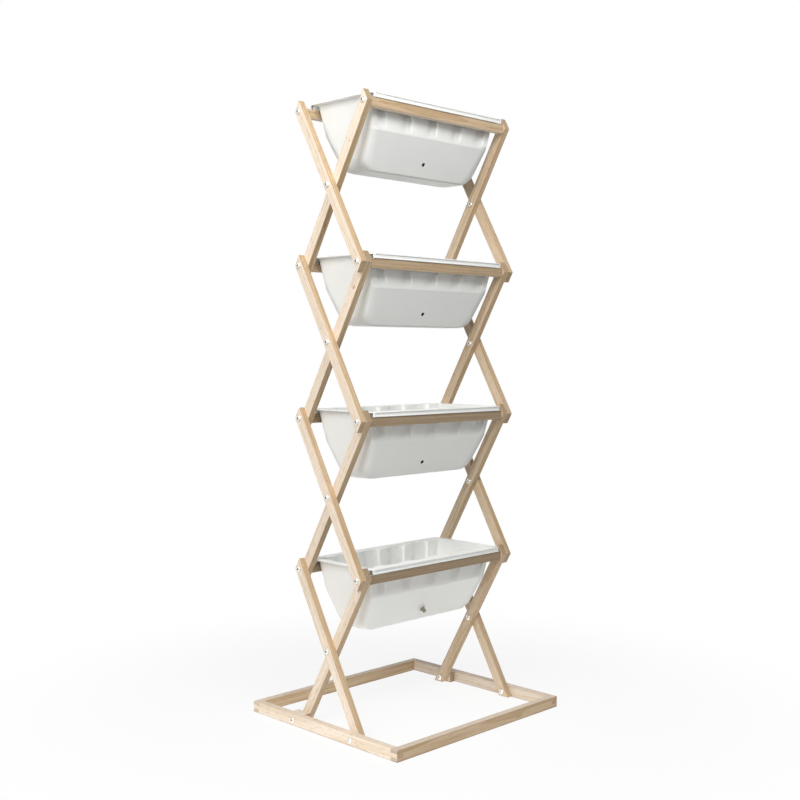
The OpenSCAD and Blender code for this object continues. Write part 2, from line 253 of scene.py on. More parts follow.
def ease_edges(piece: Object, radius: float, bores: Iterable[Bore] = ()) -> Object:
    """Round the sharp edges of a piece a little, then drill it. EDGE_ANGLE says what is sharp.

    Args:
        piece: The piece, as a mesh object.
        radius: Radius of the rounding, in millimetres.
        bores: Holes to drill through it.

    Returns:
        The same piece, with the rounding and the holes in its mesh, and its flat faces shaded flat.
    """
    bevel = piece.modifiers.new("eased_edges", "BEVEL")
    bevel.width = radius * MM
    bevel.segments = 3
    bevel.limit_method = "ANGLE"
    bevel.angle_limit = math.radians(EDGE_ANGLE)
    settle(piece)
    for bore in bores:
        bore.cut(piece)
    piece.data.shade_smooth()
    piece.data.set_sharp_from_angle(angle=math.radians(SHARP_ANGLE))
    shading = piece.modifiers.new("flat_faces", "WEIGHTED_NORMAL")
    shading.mode = "FACE_AREA"
    shading.keep_sharp = True
    return settle(piece)


def write(mesh: Mesh, name: str, values: list[float] | list[Vector], domain: str = "POINT") -> None:
    """Store one number or one vector for each point or face of a mesh.

    Args:
        mesh: The mesh.
        name: The attribute's name.
        values: The numbers or vectors, in order.
        domain: "POINT" or "FACE".
    """
    if isinstance(values[0], Vector):
        flat = [part for vector in values for part in vector]
        mesh.attributes.new(name, "FLOAT_VECTOR", domain).data.foreach_set("vector", flat)
    else:
        mesh.attributes.new(name, "FLOAT", domain).data.foreach_set("value", values)


def store_grain(piece: Object, run: Run, shift: Vector, tone: float) -> None:
    """Give a board the attributes that the timber finish reads.

    Args:
        piece: The board.
        run: The axis that its grain follows.
        shift: Where in the log the board was cut, in metres.
        tone: How light this board is: its own tone times its side's painted light, which lightens or shades
            it.
    """
    mesh = piece.data
    across = 1 - run.value
    places = [Vector((v.co.z, v.co[across], v.co[run.value])) + shift for v in mesh.vertices]
    write(mesh, "grain", places)
    for name, value in (("tone", tone), ("warmth", 1.0), ("cheek_light", 1.0)):
        write(mesh, name, [value] * len(places))
    normals = [face.normal for face in mesh.polygons]
    write(mesh, "end_grain", [float(abs(n[run.value]) > FACES_END) for n in normals], "FACE")
    write(mesh, "cheek", [float(abs(n.y) < FACES_FRONT) for n in normals], "FACE")


def dress(piece: Object, body: str, finish: Material | None, nodes: Iterable[str]) -> None:
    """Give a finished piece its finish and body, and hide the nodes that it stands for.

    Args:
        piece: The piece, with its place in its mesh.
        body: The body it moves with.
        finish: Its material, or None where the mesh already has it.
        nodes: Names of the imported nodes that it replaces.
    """
    if finish is not None:
        piece.data.materials.clear()
        piece.data.materials.append(finish)
    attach(piece, body)
    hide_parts(*nodes)
    log.info("%s: %d faces, on %s", piece.name, len(piece.data.polygons), body)


# Node trees


def linear(colour: str) -> tuple[float, float, float, float]:
    """Turn an sRGB hex colour into linear RGBA.

    Args:
        colour: The colour as "#RRGGBB".

    Returns:
        Linear red, green, blue and an alpha of 1.
    """
    channels = [int(colour[i : i + 2], 16) / 255 for i in (1, 3, 5)]
    red, green, blue = [c / 12.92 if c <= 0.04045 else ((c + 0.055) / 1.055) ** 2.4 for c in channels]
    return red, green, blue, 1.0


@dataclass(frozen=True)
class Graph:
    """A shader or geometry tree, with short ways to add the nodes that are used most."""

    tree: NodeTree

    def add(
        self, kind: str, inputs: dict[str | int, Source] | None = None, **settings: object
    ) -> NodeOutputs:
        """Add one node with its settings, its constants and its links.

        Args:
            kind: Blender's type name of the node.
            inputs: For each input, by name or number, a socket or a list of sockets to link, or a constant.
            settings: Properties of the node.

        Returns:
            The node's outputs.
        """
        node = self.tree.nodes.new(kind)
        for name, value in settings.items():
            setattr(node, name, value)
        for key, given in (inputs or {}).items():
            if isinstance(given, NodeSocket | list):
                for source in given if isinstance(given, list) else [given]:
                    self.tree.links.new(source, node.inputs[key])
            else:
                node.inputs[key].default_value = given
        return node.outputs

    def number(self, operation: str, *parts: Source) -> NodeSocket:
        """Add a Math node on its parts, and return the result."""
        return self.add("ShaderNodeMath", dict(enumerate(parts)), operation=operation)[0]

    def vector(self, operation: str, *parts: Source) -> NodeSocket:
        """Add a Vector Math node on its parts, and return its vector, length or dot product."""
        outputs = self.add("ShaderNodeVectorMath", dict(enumerate(parts)), operation=operation)
        return outputs["Value" if operation in ("LENGTH", "DOT_PRODUCT") else "Vector"]

    def upright(self, height: Source) -> NodeSocket:
        """Return a vector along Z of the given height."""
        return self.add("ShaderNodeCombineXYZ", {2: height})[0]

    def mixed(self, share: Source, first: Source, second: Source) -> NodeSocket:
        """Return a number between two others."""
        return self.add("ShaderNodeMix", {0: share, 2: first, 3: second}, data_type="FLOAT")[0]

    def mixed_colour(self, share: Source, first: Source, second: Source) -> NodeSocket:
        """Return a colour between two others."""
        return self.add("ShaderNodeMix", {0: share, 6: first, 7: second}, data_type="RGBA")[2]

    def mapped(
        self, value: Source, start: float, end: float, low: float, high: float, course: str = "LINEAR"
    ) -> NodeSocket:
        """Map a number from one span to another.

        Args:
            value: The number.
            start: Where its span starts.
            end: Where its span ends.
            low: The result at the start.
            high: The result at the end.
            course: The course between them, as the node's own setting.

        Returns:
            The result.
        """
        inputs = {0: value, 1: start, 2: end, 3: low, 4: high}
        return self.add("ShaderNodeMapRange", inputs, interpolation_type=course)[0]

    def attribute(self, name: str, output: str = "Fac") -> NodeSocket:
        """Read an attribute of the mesh, in a shader."""
        return self.add("ShaderNodeAttribute", attribute_name=name)[output]

    def object_place(self) -> NodeSocket:
        """Return the place on the object, in a shader."""
        return self.add("ShaderNodeTexCoord")["Object"]

    def stretched(self, place: NodeSocket, stretch: float) -> NodeSocket:
        """Return coordinates that draw a pattern out along Z, where stretch is its width over its length."""
        return self.add("ShaderNodeMapping", {"Vector": place, "Scale": (1, 1, stretch)})[0]

    def noise(self, place: NodeSocket, size_mm: float, detail: float) -> NodeSocket:
        """Return noise with spots of about the given size."""
        inputs = {"Vector": place, "Scale": 1 / (size_mm * MM), "Detail": detail}
        return self.add("ShaderNodeTexNoise", inputs)[0]

    def bump(self, height: NodeSocket, strength: float, depth_mm: float) -> NodeSocket:
        """Return the normals of a fine relief."""
        inputs = {"Height": height, "Strength": strength, "Distance": depth_mm * MM}
        return self.add("ShaderNodeBump", inputs)[0]

    def skin(self, inputs: dict[str, Source]) -> None:
        """Give the material its Principled shader with these inputs."""
        shader = self.add("ShaderNodeBsdfPrincipled", inputs)
        self.add("ShaderNodeOutputMaterial", {"Surface": shader["BSDF"]})


def new_material(name: str) -> tuple[Material, Graph]:
    """Start a material with an empty tree.

    Args:
        name: The material's name.

    Returns:
        The material and its tree.
    """
    material = bpy.data.materials.new(name)
    material.use_nodes = True
    material.node_tree.nodes.clear()
    return material, Graph(material.node_tree)


# Finishes


@dataclass(frozen=True)
class Knot:
    """A knot on the left stick of a pair: its middle across and along the stick, and its radius.

    Depth is how dark its heart is. Core, swing_reach and swing are in radii: the dark middle, how far the
    stripes swing round it, and by how much. Oval is its width over its length.
    """

    across: float
    along: float
    radius: float
    depth: float = 0.6
    core: float = 0.35
    oval: float = 0.55
    swing_reach: float = 3.4
    swing: float = 2.2


@dataclass(frozen=True)
class PlanedAsh:
    """Ash laths, planed and oiled: pale, with soft growth stripes, fine fibres and short dark pores.

    The cheeks, which are quarter-sawn, are paler than the flat-sawn edges.
    """

    name: str = "planed_ash"
    cheek_early: str = "#F0E1CF"
    cheek_late: str = "#E0CBB2"
    edge_early: str = "#D4BB9A"
    edge_late: str = "#B99A73"
    pore: str = "#9A7850"
    heart: str = "#8C6239"
    ring_mm: float = 5.5  # real rings are 2 to 3 mm apart, drawn coarser so that they show
    ring_share: float = 0.55
    ring_start: float = 0.25
    fibre_mm: float = 1.8
    fibre_stretch: float = 0.025
    streak_mm: float = 5.76
    streak_share: float = 0.9
    late_span: tuple[float, float] = (0.62, 1.75)
    pore_mm: float = 1.1  # real pores are 0.3 mm wide, drawn coarser so that they show
    pore_stretch: float = 0.07
    pore_gap: float = 2.2
    pore_fade: tuple[float, float] = (0.08, 0.32)
    pore_depth: float = 0.52
    drift_mm: float = 9.0
    drift_stretch: float = 0.05
    drifts_per_metre: float = 42.0
    end_shade: float = 0.74
    roughness: tuple[float, float] = (0.49, 0.65)
    relief_mm: float = 0.4
    knots: tuple[Knot, ...] = ()

    def material(self) -> Material:
        """Build the material on the attributes that store_grain and the stick tree write.

        Returns:
            The material.
        """
        material, graph = new_material(self.name)
        grain = graph.attribute("grain", "Vector")
        cheek = graph.attribute("cheek")
        heart, stripes = self._stripes(graph, grain)
        fibre = graph.noise(graph.stretched(grain, self.fibre_stretch), 2 * self.fibre_mm, 3.0)
        streak = graph.noise(graph.stretched(grain, self.fibre_stretch / 2), 2 * self.streak_mm, 1.0)
        pores = self._pores(graph, grain)
        pattern = graph.number("MULTIPLY_ADD", stripes, self.ring_share, fibre)
        pattern = graph.number("MULTIPLY_ADD", streak, self.streak_share, pattern)
        early = graph.mixed_colour(cheek, linear(self.edge_early), linear(self.cheek_early))
        late = graph.mixed_colour(cheek, linear(self.edge_late), linear(self.cheek_late))
        wood = graph.mixed_colour(graph.mapped(pattern, *self.late_span, 0.0, 1.0, SMOOTH), early, late)
        wood = graph.mixed_colour(pores, wood, linear(self.pore))
        wood = graph.mixed_colour(heart, wood, linear(self.heart))
        end_tone = graph.mapped(graph.attribute("end_grain"), 0.0, 1.0, 1.0, self.end_shade)
        # painted light and shade: tone and cheek light darken some sticks and faces as if in shade, on top of
        # each stick's own tone
        level = graph.number("MULTIPLY", graph.attribute("tone"), end_tone)
        level = graph.number("MULTIPLY", level, graph.mixed(cheek, 1.0, graph.attribute("cheek_light")))
        # warmth: painted warm bounce light on the shaded right laths, and the rails' browner wood
        rich = graph.mixed(cheek, 1.0, graph.attribute("warmth"))
        toned = graph.add("ShaderNodeHueSaturation", {"Color": wood, "Saturation": rich, "Value": level})
        graph.skin({
            "Base Color": toned[0],
            "Roughness": graph.mapped(fibre, *NOISE_SPAN, *self.roughness),
            "Normal": graph.bump(graph.number("SUBTRACT", fibre, pores), 0.25, self.relief_mm),
        })
        return material

    def _pores(self, graph: Graph, grain: NodeSocket) -> NodeSocket:
        """Add the open pores, short dark dashes along the stick.

        Args:
            graph: The material's tree.
            grain: The stick's own coordinates.

        Returns:
            How far each point is in a pore.
        """
        place = graph.stretched(grain, self.pore_stretch)
        scale = 1 / (self.pore_gap * self.pore_mm * MM)
        cells = graph.add("ShaderNodeTexVoronoi", {"Vector": place, "Scale": scale})
        return graph.mapped(cells["Distance"], *self.pore_fade, self.pore_depth, 0.0, SMOOTH)

    def _stripes(self, graph: Graph, grain: NodeSocket) -> tuple[Source, NodeSocket]:
        """Add the growth stripes, which wander a little and swing round the knots.

        Args:
            graph: The material's tree.
            grain: The stick's own coordinates.

        Returns:
            How far each point is in a knot's heart, and how late its wood grew in the year.
        """
        slow = graph.stretched(grain, self.drift_stretch)
        inputs = {"Vector": slow, "Scale": self.drifts_per_metre, "Detail": 2.0}
        drift = graph.vector("SUBTRACT", graph.add("ShaderNodeTexNoise", inputs)["Color"], (0.5, 0.5, 0.5))
        reach = 2 * self.drift_mm * MM
        place = graph.vector("MULTIPLY_ADD", drift, (reach, reach, reach), slow)
        heart, place = self._knots(graph, place)
        rings = graph.add(
            "ShaderNodeTexWave", {"Vector": place, "Scale": 2 * math.pi / (WAVE_PHASE * self.ring_mm * MM)},
            wave_type="RINGS", rings_direction="Z", wave_profile="SAW",
        )
        return heart, graph.mapped(rings["Fac"], self.ring_start, 1.0, 0.0, 1.0, SMOOTH)

    def _knots(self, graph: Graph, place: NodeSocket) -> tuple[Source, NodeSocket]:
        """Add the knots, with the growth stripes swung round them.

        Args:
            graph: The material's tree.
            place: The coordinates that the stripes use.

        Returns:
            How far each point is in a knot's heart, and the stripes' coordinates with the swing.
        """
        if not self.knots:
            return 0.0, place
        left = graph.attribute("left")
        flat = graph.vector("MULTIPLY", graph.attribute("own_place", "Vector"), (0, 1, 1))
        heart: Source = 0.0
        for knot in self.knots:
            radius = knot.radius * MM
            away = graph.vector("SUBTRACT", flat, (0, knot.across * MM, knot.along * MM))
            distance = graph.vector("LENGTH", graph.vector("MULTIPLY", away, (1, 1, knot.oval)))
            core = graph.mapped(distance, knot.core * radius, radius, knot.depth, 0.0, SMOOTH)
            heart = graph.number("MAXIMUM", heart, core)
            pull = graph.mapped(distance, 0.0, knot.swing_reach * radius, knot.swing * radius, 0.0, SMOOTH)
            pull = graph.number("MULTIPLY", pull, left)
            place = graph.vector("ADD", place, graph.add("ShaderNodeCombineXYZ", {0: pull, 1: pull})[0])
        return graph.number("MULTIPLY", heart, left), place


@dataclass(frozen=True)
class MouldedPlastic:
    """Injection-moulded plastic or rubber: an even colour with a satin skin and the mould's fine texture, and
    a dark painted shade on faces that the mesh marks.
    """

    name: str
    colour: str
    roughness: tuple[float, float] = (0.36, 0.45)
    mottle: float = 0.02
    skin_mm: float = 0.9
    relief_mm: float = 0.02
    patch_mm: float = 60.0
    # painted shade: the dark colour given to the drain hole's wall
    grime: str = "#2E2B28"

    def material(self) -> Material:
        """Build the material. It reads an attribute that is 1 where shade is painted, such as on the drain
        hole's wall.

        Returns:
            The material.
        """
        material, graph = new_material(self.name)
        place = graph.object_place()
        patch = graph.noise(place, self.patch_mm, 3.0)
        level = graph.mapped(patch, *NOISE_SPAN, 1 - self.mottle, 1.0)
        clean = graph.add("ShaderNodeHueSaturation", {"Color": linear(self.colour), "Value": level})[0]
        graph.skin({
            # painted shade: the marked faces turn dark
            "Base Color": graph.mixed_colour(graph.attribute("recess"), clean, linear(self.grime)),
            "Roughness": graph.mapped(patch, *NOISE_SPAN, *self.roughness),
            "Normal": graph.bump(graph.noise(place, self.skin_mm, 2.0), 0.3, self.relief_mm),
        })
        return material


@dataclass(frozen=True)
class ZincPlate:
    """Steel with bright zinc plating: a light metal with a soft, slightly uneven shine.

    The sockets get a painted shade: their faces are coloured dark.
    """

    name: str = "bright_zinc_plate"
    light: str = "#E4E4E1"
    dull: str = "#C4C4C0"
    # painted shade in the sockets
    bare: str = "#3A3835"
    roughness: tuple[float, float] = (0.24, 0.4)
    cloud_mm: float = 2.5

    def material(self) -> Material:
        """Build the material. It reads an attribute that is 1 in the sockets, where shade is painted.

        Returns:
            The material.
        """
        material, graph = new_material(self.name)
        cloud = graph.noise(graph.object_place(), self.cloud_mm, 4.0)
        plated = graph.mixed_colour(cloud, linear(self.light), linear(self.dull))
        graph.skin({
            # painted shade in the sockets
            "Base Color": graph.mixed_colour(graph.attribute("recess"), plated, linear(self.bare)),
            "Roughness": graph.mapped(cloud, *NOISE_SPAN, *self.roughness),
            "Metallic": 1.0,
        })
        return material


# Trees that make the sticks and the fasteners


@dataclass
class LogCuts:
    """Where each stick was cut from the log, and how light and warm it is: its own tone and colour, with
    painted light and shade on top. The draws are seeded.

    The pairs are for sticks left and right of the middle.
    """

    seed: int
    light: float = 1.0
    spread: float = 0.035
    away_mm: tuple[float, float] = (45, 110)
    along_m: tuple[float, float] = (1, 9)
    # painted light and shade for the left and the right sticks; the warmth pair holds painted warm bounce
    # light on shaded laths
    side_light: tuple[float, float] = (1.0, 1.0)
    warmth: tuple[float, float] = (1.0, 1.0)
    cheek_light: tuple[float, float] = (1.0, 1.0)
    draws: random.Random = field(init=False)

    def __post_init__(self) -> None:
        """Seed the draws."""
        self.draws = random.Random(self.seed)

    def shift(self) -> Vector:
        """Draw where a stick was cut.

        Returns:
            Its offset from the middle of the log, in metres.
        """
        away = self.draws.uniform(*self.away_mm) * MM
        angle = self.draws.uniform(0, 2 * math.pi)
        return Vector((away * math.cos(angle), away * math.sin(angle), self.draws.uniform(*self.along_m)))

    def tone(self) -> float:
        """Return how light the stick is: the given light, which for the rails holds painted shade, give or
        take the random spread.
        """
        return self.light + self.draws.uniform(-self.spread, self.spread)


@dataclass
class PointTree:
    """Geometry tree that puts one form on every point of its object and gives it a finish.

    Its kinds say which form, how it is turned and what its mesh still gets.
    """

    inputs: ClassVar[dict[str, str]] = {}
    graph: Graph = field(init=False)
    sockets: dict[str, str] = field(init=False)

    def __post_init__(self) -> None:
        """Build the tree once, for all pieces of its kind."""
        tree = bpy.data.node_groups.new(type(self).__name__, "GeometryNodeTree")
        self.graph = graph = Graph(tree)
        self.sockets = {}
        for name, kind in {"Points": "Geometry", **self.inputs, "Finish": "Material"}.items():
            socket = tree.interface.new_socket(name, in_out="INPUT", socket_type=f"NodeSocket{kind}")
            self.sockets[name] = socket.identifier
        tree.interface.new_socket("Pieces", in_out="OUTPUT", socket_type="NodeSocketGeometry")
        given = graph.add("NodeGroupInput")
        points = graph.add("GeometryNodeMeshToPoints", {"Mesh": given["Points"]})[0]
        form = {"Points": points, "Instance": self.form(given), "Rotation": self.turn()}
        laid = graph.add("GeometryNodeInstanceOnPoints", form)[0]
        real = self.complete(graph.add("GeometryNodeRealizeInstances", {"Geometry": laid})[0])
        finished = graph.add("GeometryNodeSetMaterial", {"Geometry": real, "Material": given["Finish"]})[0]
        graph.add("NodeGroupOutput", {0: finished})

    def form(self, given: NodeOutputs) -> NodeSocket:
        """Add the form and return it, made from the tree's inputs."""
        raise NotImplementedError

    def turn(self) -> Source:
        """Return how the form is turned on each point."""
        return 0.0, 0.0, 0.0

    def complete(self, forms: NodeSocket) -> NodeSocket:
        """Add what the mesh of all the forms still gets, and return it."""
        return forms

    def named(self, name: str) -> NodeSocket:
        """Read a vector that the points or the mesh carry."""
        return self.graph.add("GeometryNodeInputNamedAttribute", {"Name": name}, data_type="FLOAT_VECTOR")[0]

    def stored(self, mesh: NodeSocket, name: str, kind: str, domain: str, value: Source) -> NodeSocket:
        """Store an attribute on a mesh.

        Args:
            mesh: The mesh.
            name: The attribute's name.
            kind: Its data type.
            domain: "POINT" or "FACE".
            value: Its value.

        Returns:
            The mesh with it.
        """
        inputs = {"Geometry": mesh, "Name": name, "Value": value}
        return self.graph.add("GeometryNodeStoreNamedAttribute", inputs, data_type=kind, domain=domain)[0]

    def run(self, name: str, points: Mesh, values: dict[str, object]) -> Object:
        """Run the tree on a mesh's points.

        Args:
            name: Name of the piece.
            points: The mesh with the points.
            values: The tree's inputs, with lengths in metres.

        Returns:
            What it makes, as one piece with a plain mesh.
        """
        piece = mesh_object(name, points)
        modifier = piece.modifiers.new("forms", "NODES")
        modifier.node_group = self.graph.tree
        for key, value in values.items():
            modifier[self.sockets[key]] = value
        return settle(piece)


def point_mesh(name: str, places: list[Vector]) -> Mesh:
    """Make a mesh of loose points.

    Args:
        name: The mesh's name.
        places: The places, in millimetres.

    Returns:
        The mesh.
    """
    mesh = bpy.data.meshes.new(name)
    mesh.from_pydata([place * MM for place in places], [], [])
    return mesh


@dataclass
class StickTree(PointTree):
    """Tree that lays sticks, each with its own cut from the log.

    A stick is a bar along its own Z with sloped end cuts. The points carry shift, tone, warmth,
    cheek_light and left.
    """

    inputs: ClassVar[dict[str, str]] = {
        "Thickness": "Float", "Width": "Float", "Low reach": "Float", "Low slope": "Float",
        "High reach": "Float", "High slope": "Float", "Turn": "Vector",
    }

    def form(self, given: NodeOutputs) -> NodeSocket:
        """Add the stick, turned.

        Args:
            given: The tree's inputs.

        Returns:
            The stick.
        """
        graph = self.graph
        size = graph.add("ShaderNodeCombineXYZ", {0: given["Thickness"], 1: given["Width"], 2: 1.0})[0]
        bar = self._end_cuts(given, graph.add("GeometryNodeMeshCube", {"Size": size})["Mesh"])
        faces = graph.add("ShaderNodeSeparateXYZ", {0: graph.add("GeometryNodeInputNormal")[0]})
        for name, axis in (("end_grain", 2), ("cheek", 0)):
            is_it = graph.number("GREATER_THAN", graph.number("ABSOLUTE", faces[axis]), 0.5)
            bar = self.stored(bar, name, "FLOAT", "FACE", is_it)
        own = graph.add("GeometryNodeInputPosition")[0]
        bar = self.stored(bar, "own_place", "FLOAT_VECTOR", "POINT", own)
        return graph.add("GeometryNodeTransform", {"Geometry": bar, "Rotation": given["Turn"]})[0]

    def complete(self, forms: NodeSocket) -> NodeSocket:
        """Store each point's place in the log: its place on the stick plus the stick's shift."""
        place = self.graph.vector("ADD", self.named("own_place"), self.named("shift"))
        return self.stored(forms, "grain", "FLOAT_VECTOR", "POINT", place)

    def _end_cuts(self, given: NodeOutputs, bar: NodeSocket) -> NodeSocket:
        """Move the two ends of a unit bar to their reach, sloped across its width.

        Args:
            given: The tree's inputs.
            bar: The unit bar.

        Returns:
            The bar at its length.
        """
        graph = self.graph
        x, y, z = graph.add("ShaderNodeSeparateXYZ", {0: graph.add("GeometryNodeInputPosition")[0]})
        high = graph.number("MULTIPLY_ADD", y, given["High slope"], given["High reach"])
        low_reach = graph.number("MULTIPLY", given["Low reach"], -1.0)
        low = graph.number("MULTIPLY_ADD", y, given["Low slope"], low_reach)
        along = graph.mixed(graph.number("GREATER_THAN", z, 0.0), low, high)
        place = graph.add("ShaderNodeCombineXYZ", {0: x, 1: y, 2: along})[0]
        return graph.add("GeometryNodeSetPosition", {"Geometry": bar, "Position": place})[0]

    def lay(
        self, name: str, places: list[Vector], sizes: dict[str, float], turn: Euler, cuts: LogCuts,
        finish: Material,
    ) -> Object:
        """Lay sticks of one kind and turn them into a plain mesh.

        Args:
            name: Name of the piece.
            places: Middle of each stick, in millimetres.
            sizes: The tree's sizes: lengths in millimetres, slopes as they are.
            turn: How the stick's own Z is turned.
            cuts: Where in the log the sticks come from.
            finish: Their material.

        Returns:
            The sticks as one piece.
        """
        mesh = point_mesh(name, places)
        right = [place.x > 0 for place in places]
        write(mesh, "shift", [cuts.shift() for _ in places])
        # painted light and shade: each side's factors on top of the stick's own tone
        write(mesh, "tone", [cuts.tone() * cuts.side_light[side] for side in right])
        write(mesh, "warmth", [cuts.warmth[side] for side in right])
        write(mesh, "cheek_light", [cuts.cheek_light[side] for side in right])
        write(mesh, "left", [float(place.x < 0) for place in places])
        values = {key: size if key.endswith("slope") else size * MM for key, size in sizes.items()}
        return self.run(name, mesh, {**values, "Turn": tuple(turn), "Finish": finish})


@dataclass
class FastenerTree(PointTree):
    """Tree that sets domed socket heads with their shanks. The points carry facing, the head's way."""

    inputs: ClassVar[dict[str, str]] = {
        "Head radius": "Float", "Edge height": "Float", "Dome height": "Float", "Dome radius": "Float",
        "Socket radius": "Float", "Socket depth": "Float", "Shank radius": "Float", "Shank length": "Float",
    }
    rim_segments: int = 40
    dome_rings: int = 6
    shank_segments: int = 24
    sharp_angle: float = 30

    def form(self, given: NodeOutputs) -> NodeSocket:
        """Add the fastener: the head and the shank as one, with the socket cut out.

        Args:
            given: The tree's inputs.

        Returns:
            The fastener.
        """
        graph = self.graph
        head = self._head(given)
        shank = self._cylinder(given, "Shank radius", "Shank length", {"Vertices": self.shank_segments})
        shank = self._raised(shank, graph.number("MULTIPLY", given["Shank length"], -0.5))
        parts = {"Mesh 2": [head, shank]}
        solid = graph.add("GeometryNodeMeshBoolean", parts, operation="UNION", solver="EXACT")[0]
        drift = self._cylinder(given, "Socket radius", "Socket depth", {"Vertices": 6})
        # painted shade: the socket's faces are marked so that they are coloured dark
        drift = self.stored(drift, "recess", "FLOAT", "FACE", 1.0)
        drift = self._raised(drift, graph.number("ADD", given["Edge height"], given["Dome height"]))
        cut = {"Mesh 1": solid, "Mesh 2": drift}
        return graph.add("GeometryNodeMeshBoolean", cut, operation="DIFFERENCE", solver="EXACT")[0]

    def turn(self) -> Source:
        """Turn each head to its way."""
        facing = {"Vector": self.named("facing")}
        return self.graph.add("FunctionNodeAlignRotationToVector", facing, axis="Z")[0]

    def complete(self, forms: NodeSocket) -> NodeSocket:
        """Shade the domes smooth and keep the real edges sharp.

        Args:
            forms: The fasteners.

        Returns:
            The same mesh, shaded.
        """
        graph = self.graph
        smooth = graph.add("GeometryNodeSetShadeSmooth", {"Geometry": forms}, domain="FACE")[0]
        angles = {0: graph.add("GeometryNodeInputMeshEdgeAngle")[0], 1: math.radians(self.sharp_angle)}
        sharp = graph.add("FunctionNodeCompare", angles, operation="GREATER_THAN")[0]
        edges = {"Geometry": smooth, "Selection": sharp, "Shade Smooth": False}
        return graph.add("GeometryNodeSetShadeSmooth", edges, domain="EDGE")[0]

    def _cylinder(self, given: NodeOutputs, radius: str, length: str, counts: dict[str, int]) -> NodeSocket:
        """Add a cylinder about the origin, from the named inputs and with the given numbers of segments."""
        inputs = {"Radius": given[radius], "Depth": given[length], **counts}
        return self.graph.add("GeometryNodeMeshCylinder", inputs)["Mesh"]

    def _raised(self, form: NodeSocket, height: NodeSocket) -> NodeSocket:
        """Move a form along its axis."""
        inputs = {"Geometry": form, "Translation": self.graph.upright(height)}
        return self.graph.add("GeometryNodeTransform", inputs)[0]

    def _head(self, given: NodeOutputs) -> NodeSocket:
        """Add the head: a disc on z = 0 whose top follows a sphere.

        Args:
            given: The tree's inputs.

        Returns:
            The head.
        """
        graph = self.graph
        counts = {"Vertices": self.rim_segments, "Fill Segments": self.dome_rings}
        disc = self._cylinder(given, "Head radius", "Edge height", counts)
        place = graph.add("GeometryNodeInputPosition")[0]
        level = graph.vector("MULTIPLY", place, (1, 1, 0))
        ball = graph.number("POWER", given["Dome radius"], 2.0)
        cap = graph.number("SQRT", graph.number("SUBTRACT", ball, graph.vector("DOT_PRODUCT", level, level)))
        sunk = graph.number("SUBTRACT", given["Dome height"], given["Dome radius"])
        height = graph.add("ShaderNodeSeparateXYZ", {0: place})[2]
        top = graph.add("FunctionNodeCompare", {0: height, 1: 0.0}, operation="GREATER_THAN")[0]
        rise = graph.upright(graph.number("ADD", cap, sunk))
        domed = graph.add("GeometryNodeSetPosition", {"Geometry": disc, "Selection": top, "Offset": rise})[0]
        return self._raised(domed, graph.number("MULTIPLY", given["Edge height"], 0.5))

    def set_in(
        self, name: str, places: list[tuple[Vector, Vector]], sizes: dict[str, float], finish: Material
    ) -> Object:
        """Put fasteners in their places and turn them into a plain mesh.

        Args:
            name: Name of the piece.
            places: For each, the point under its head, in millimetres, and the way the head faces.
            sizes: The tree's sizes, in millimetres.
            finish: Their material.

        Returns:
            The fasteners as one piece.
        """
        mesh = point_mesh(name, [place for place, _ in places])
        write(mesh, "facing", [way for _, way in places])
        return self.run(name, mesh, {**{key: size * MM for key, size in sizes.items()}, "Finish": finish})


# Sub-assemblies


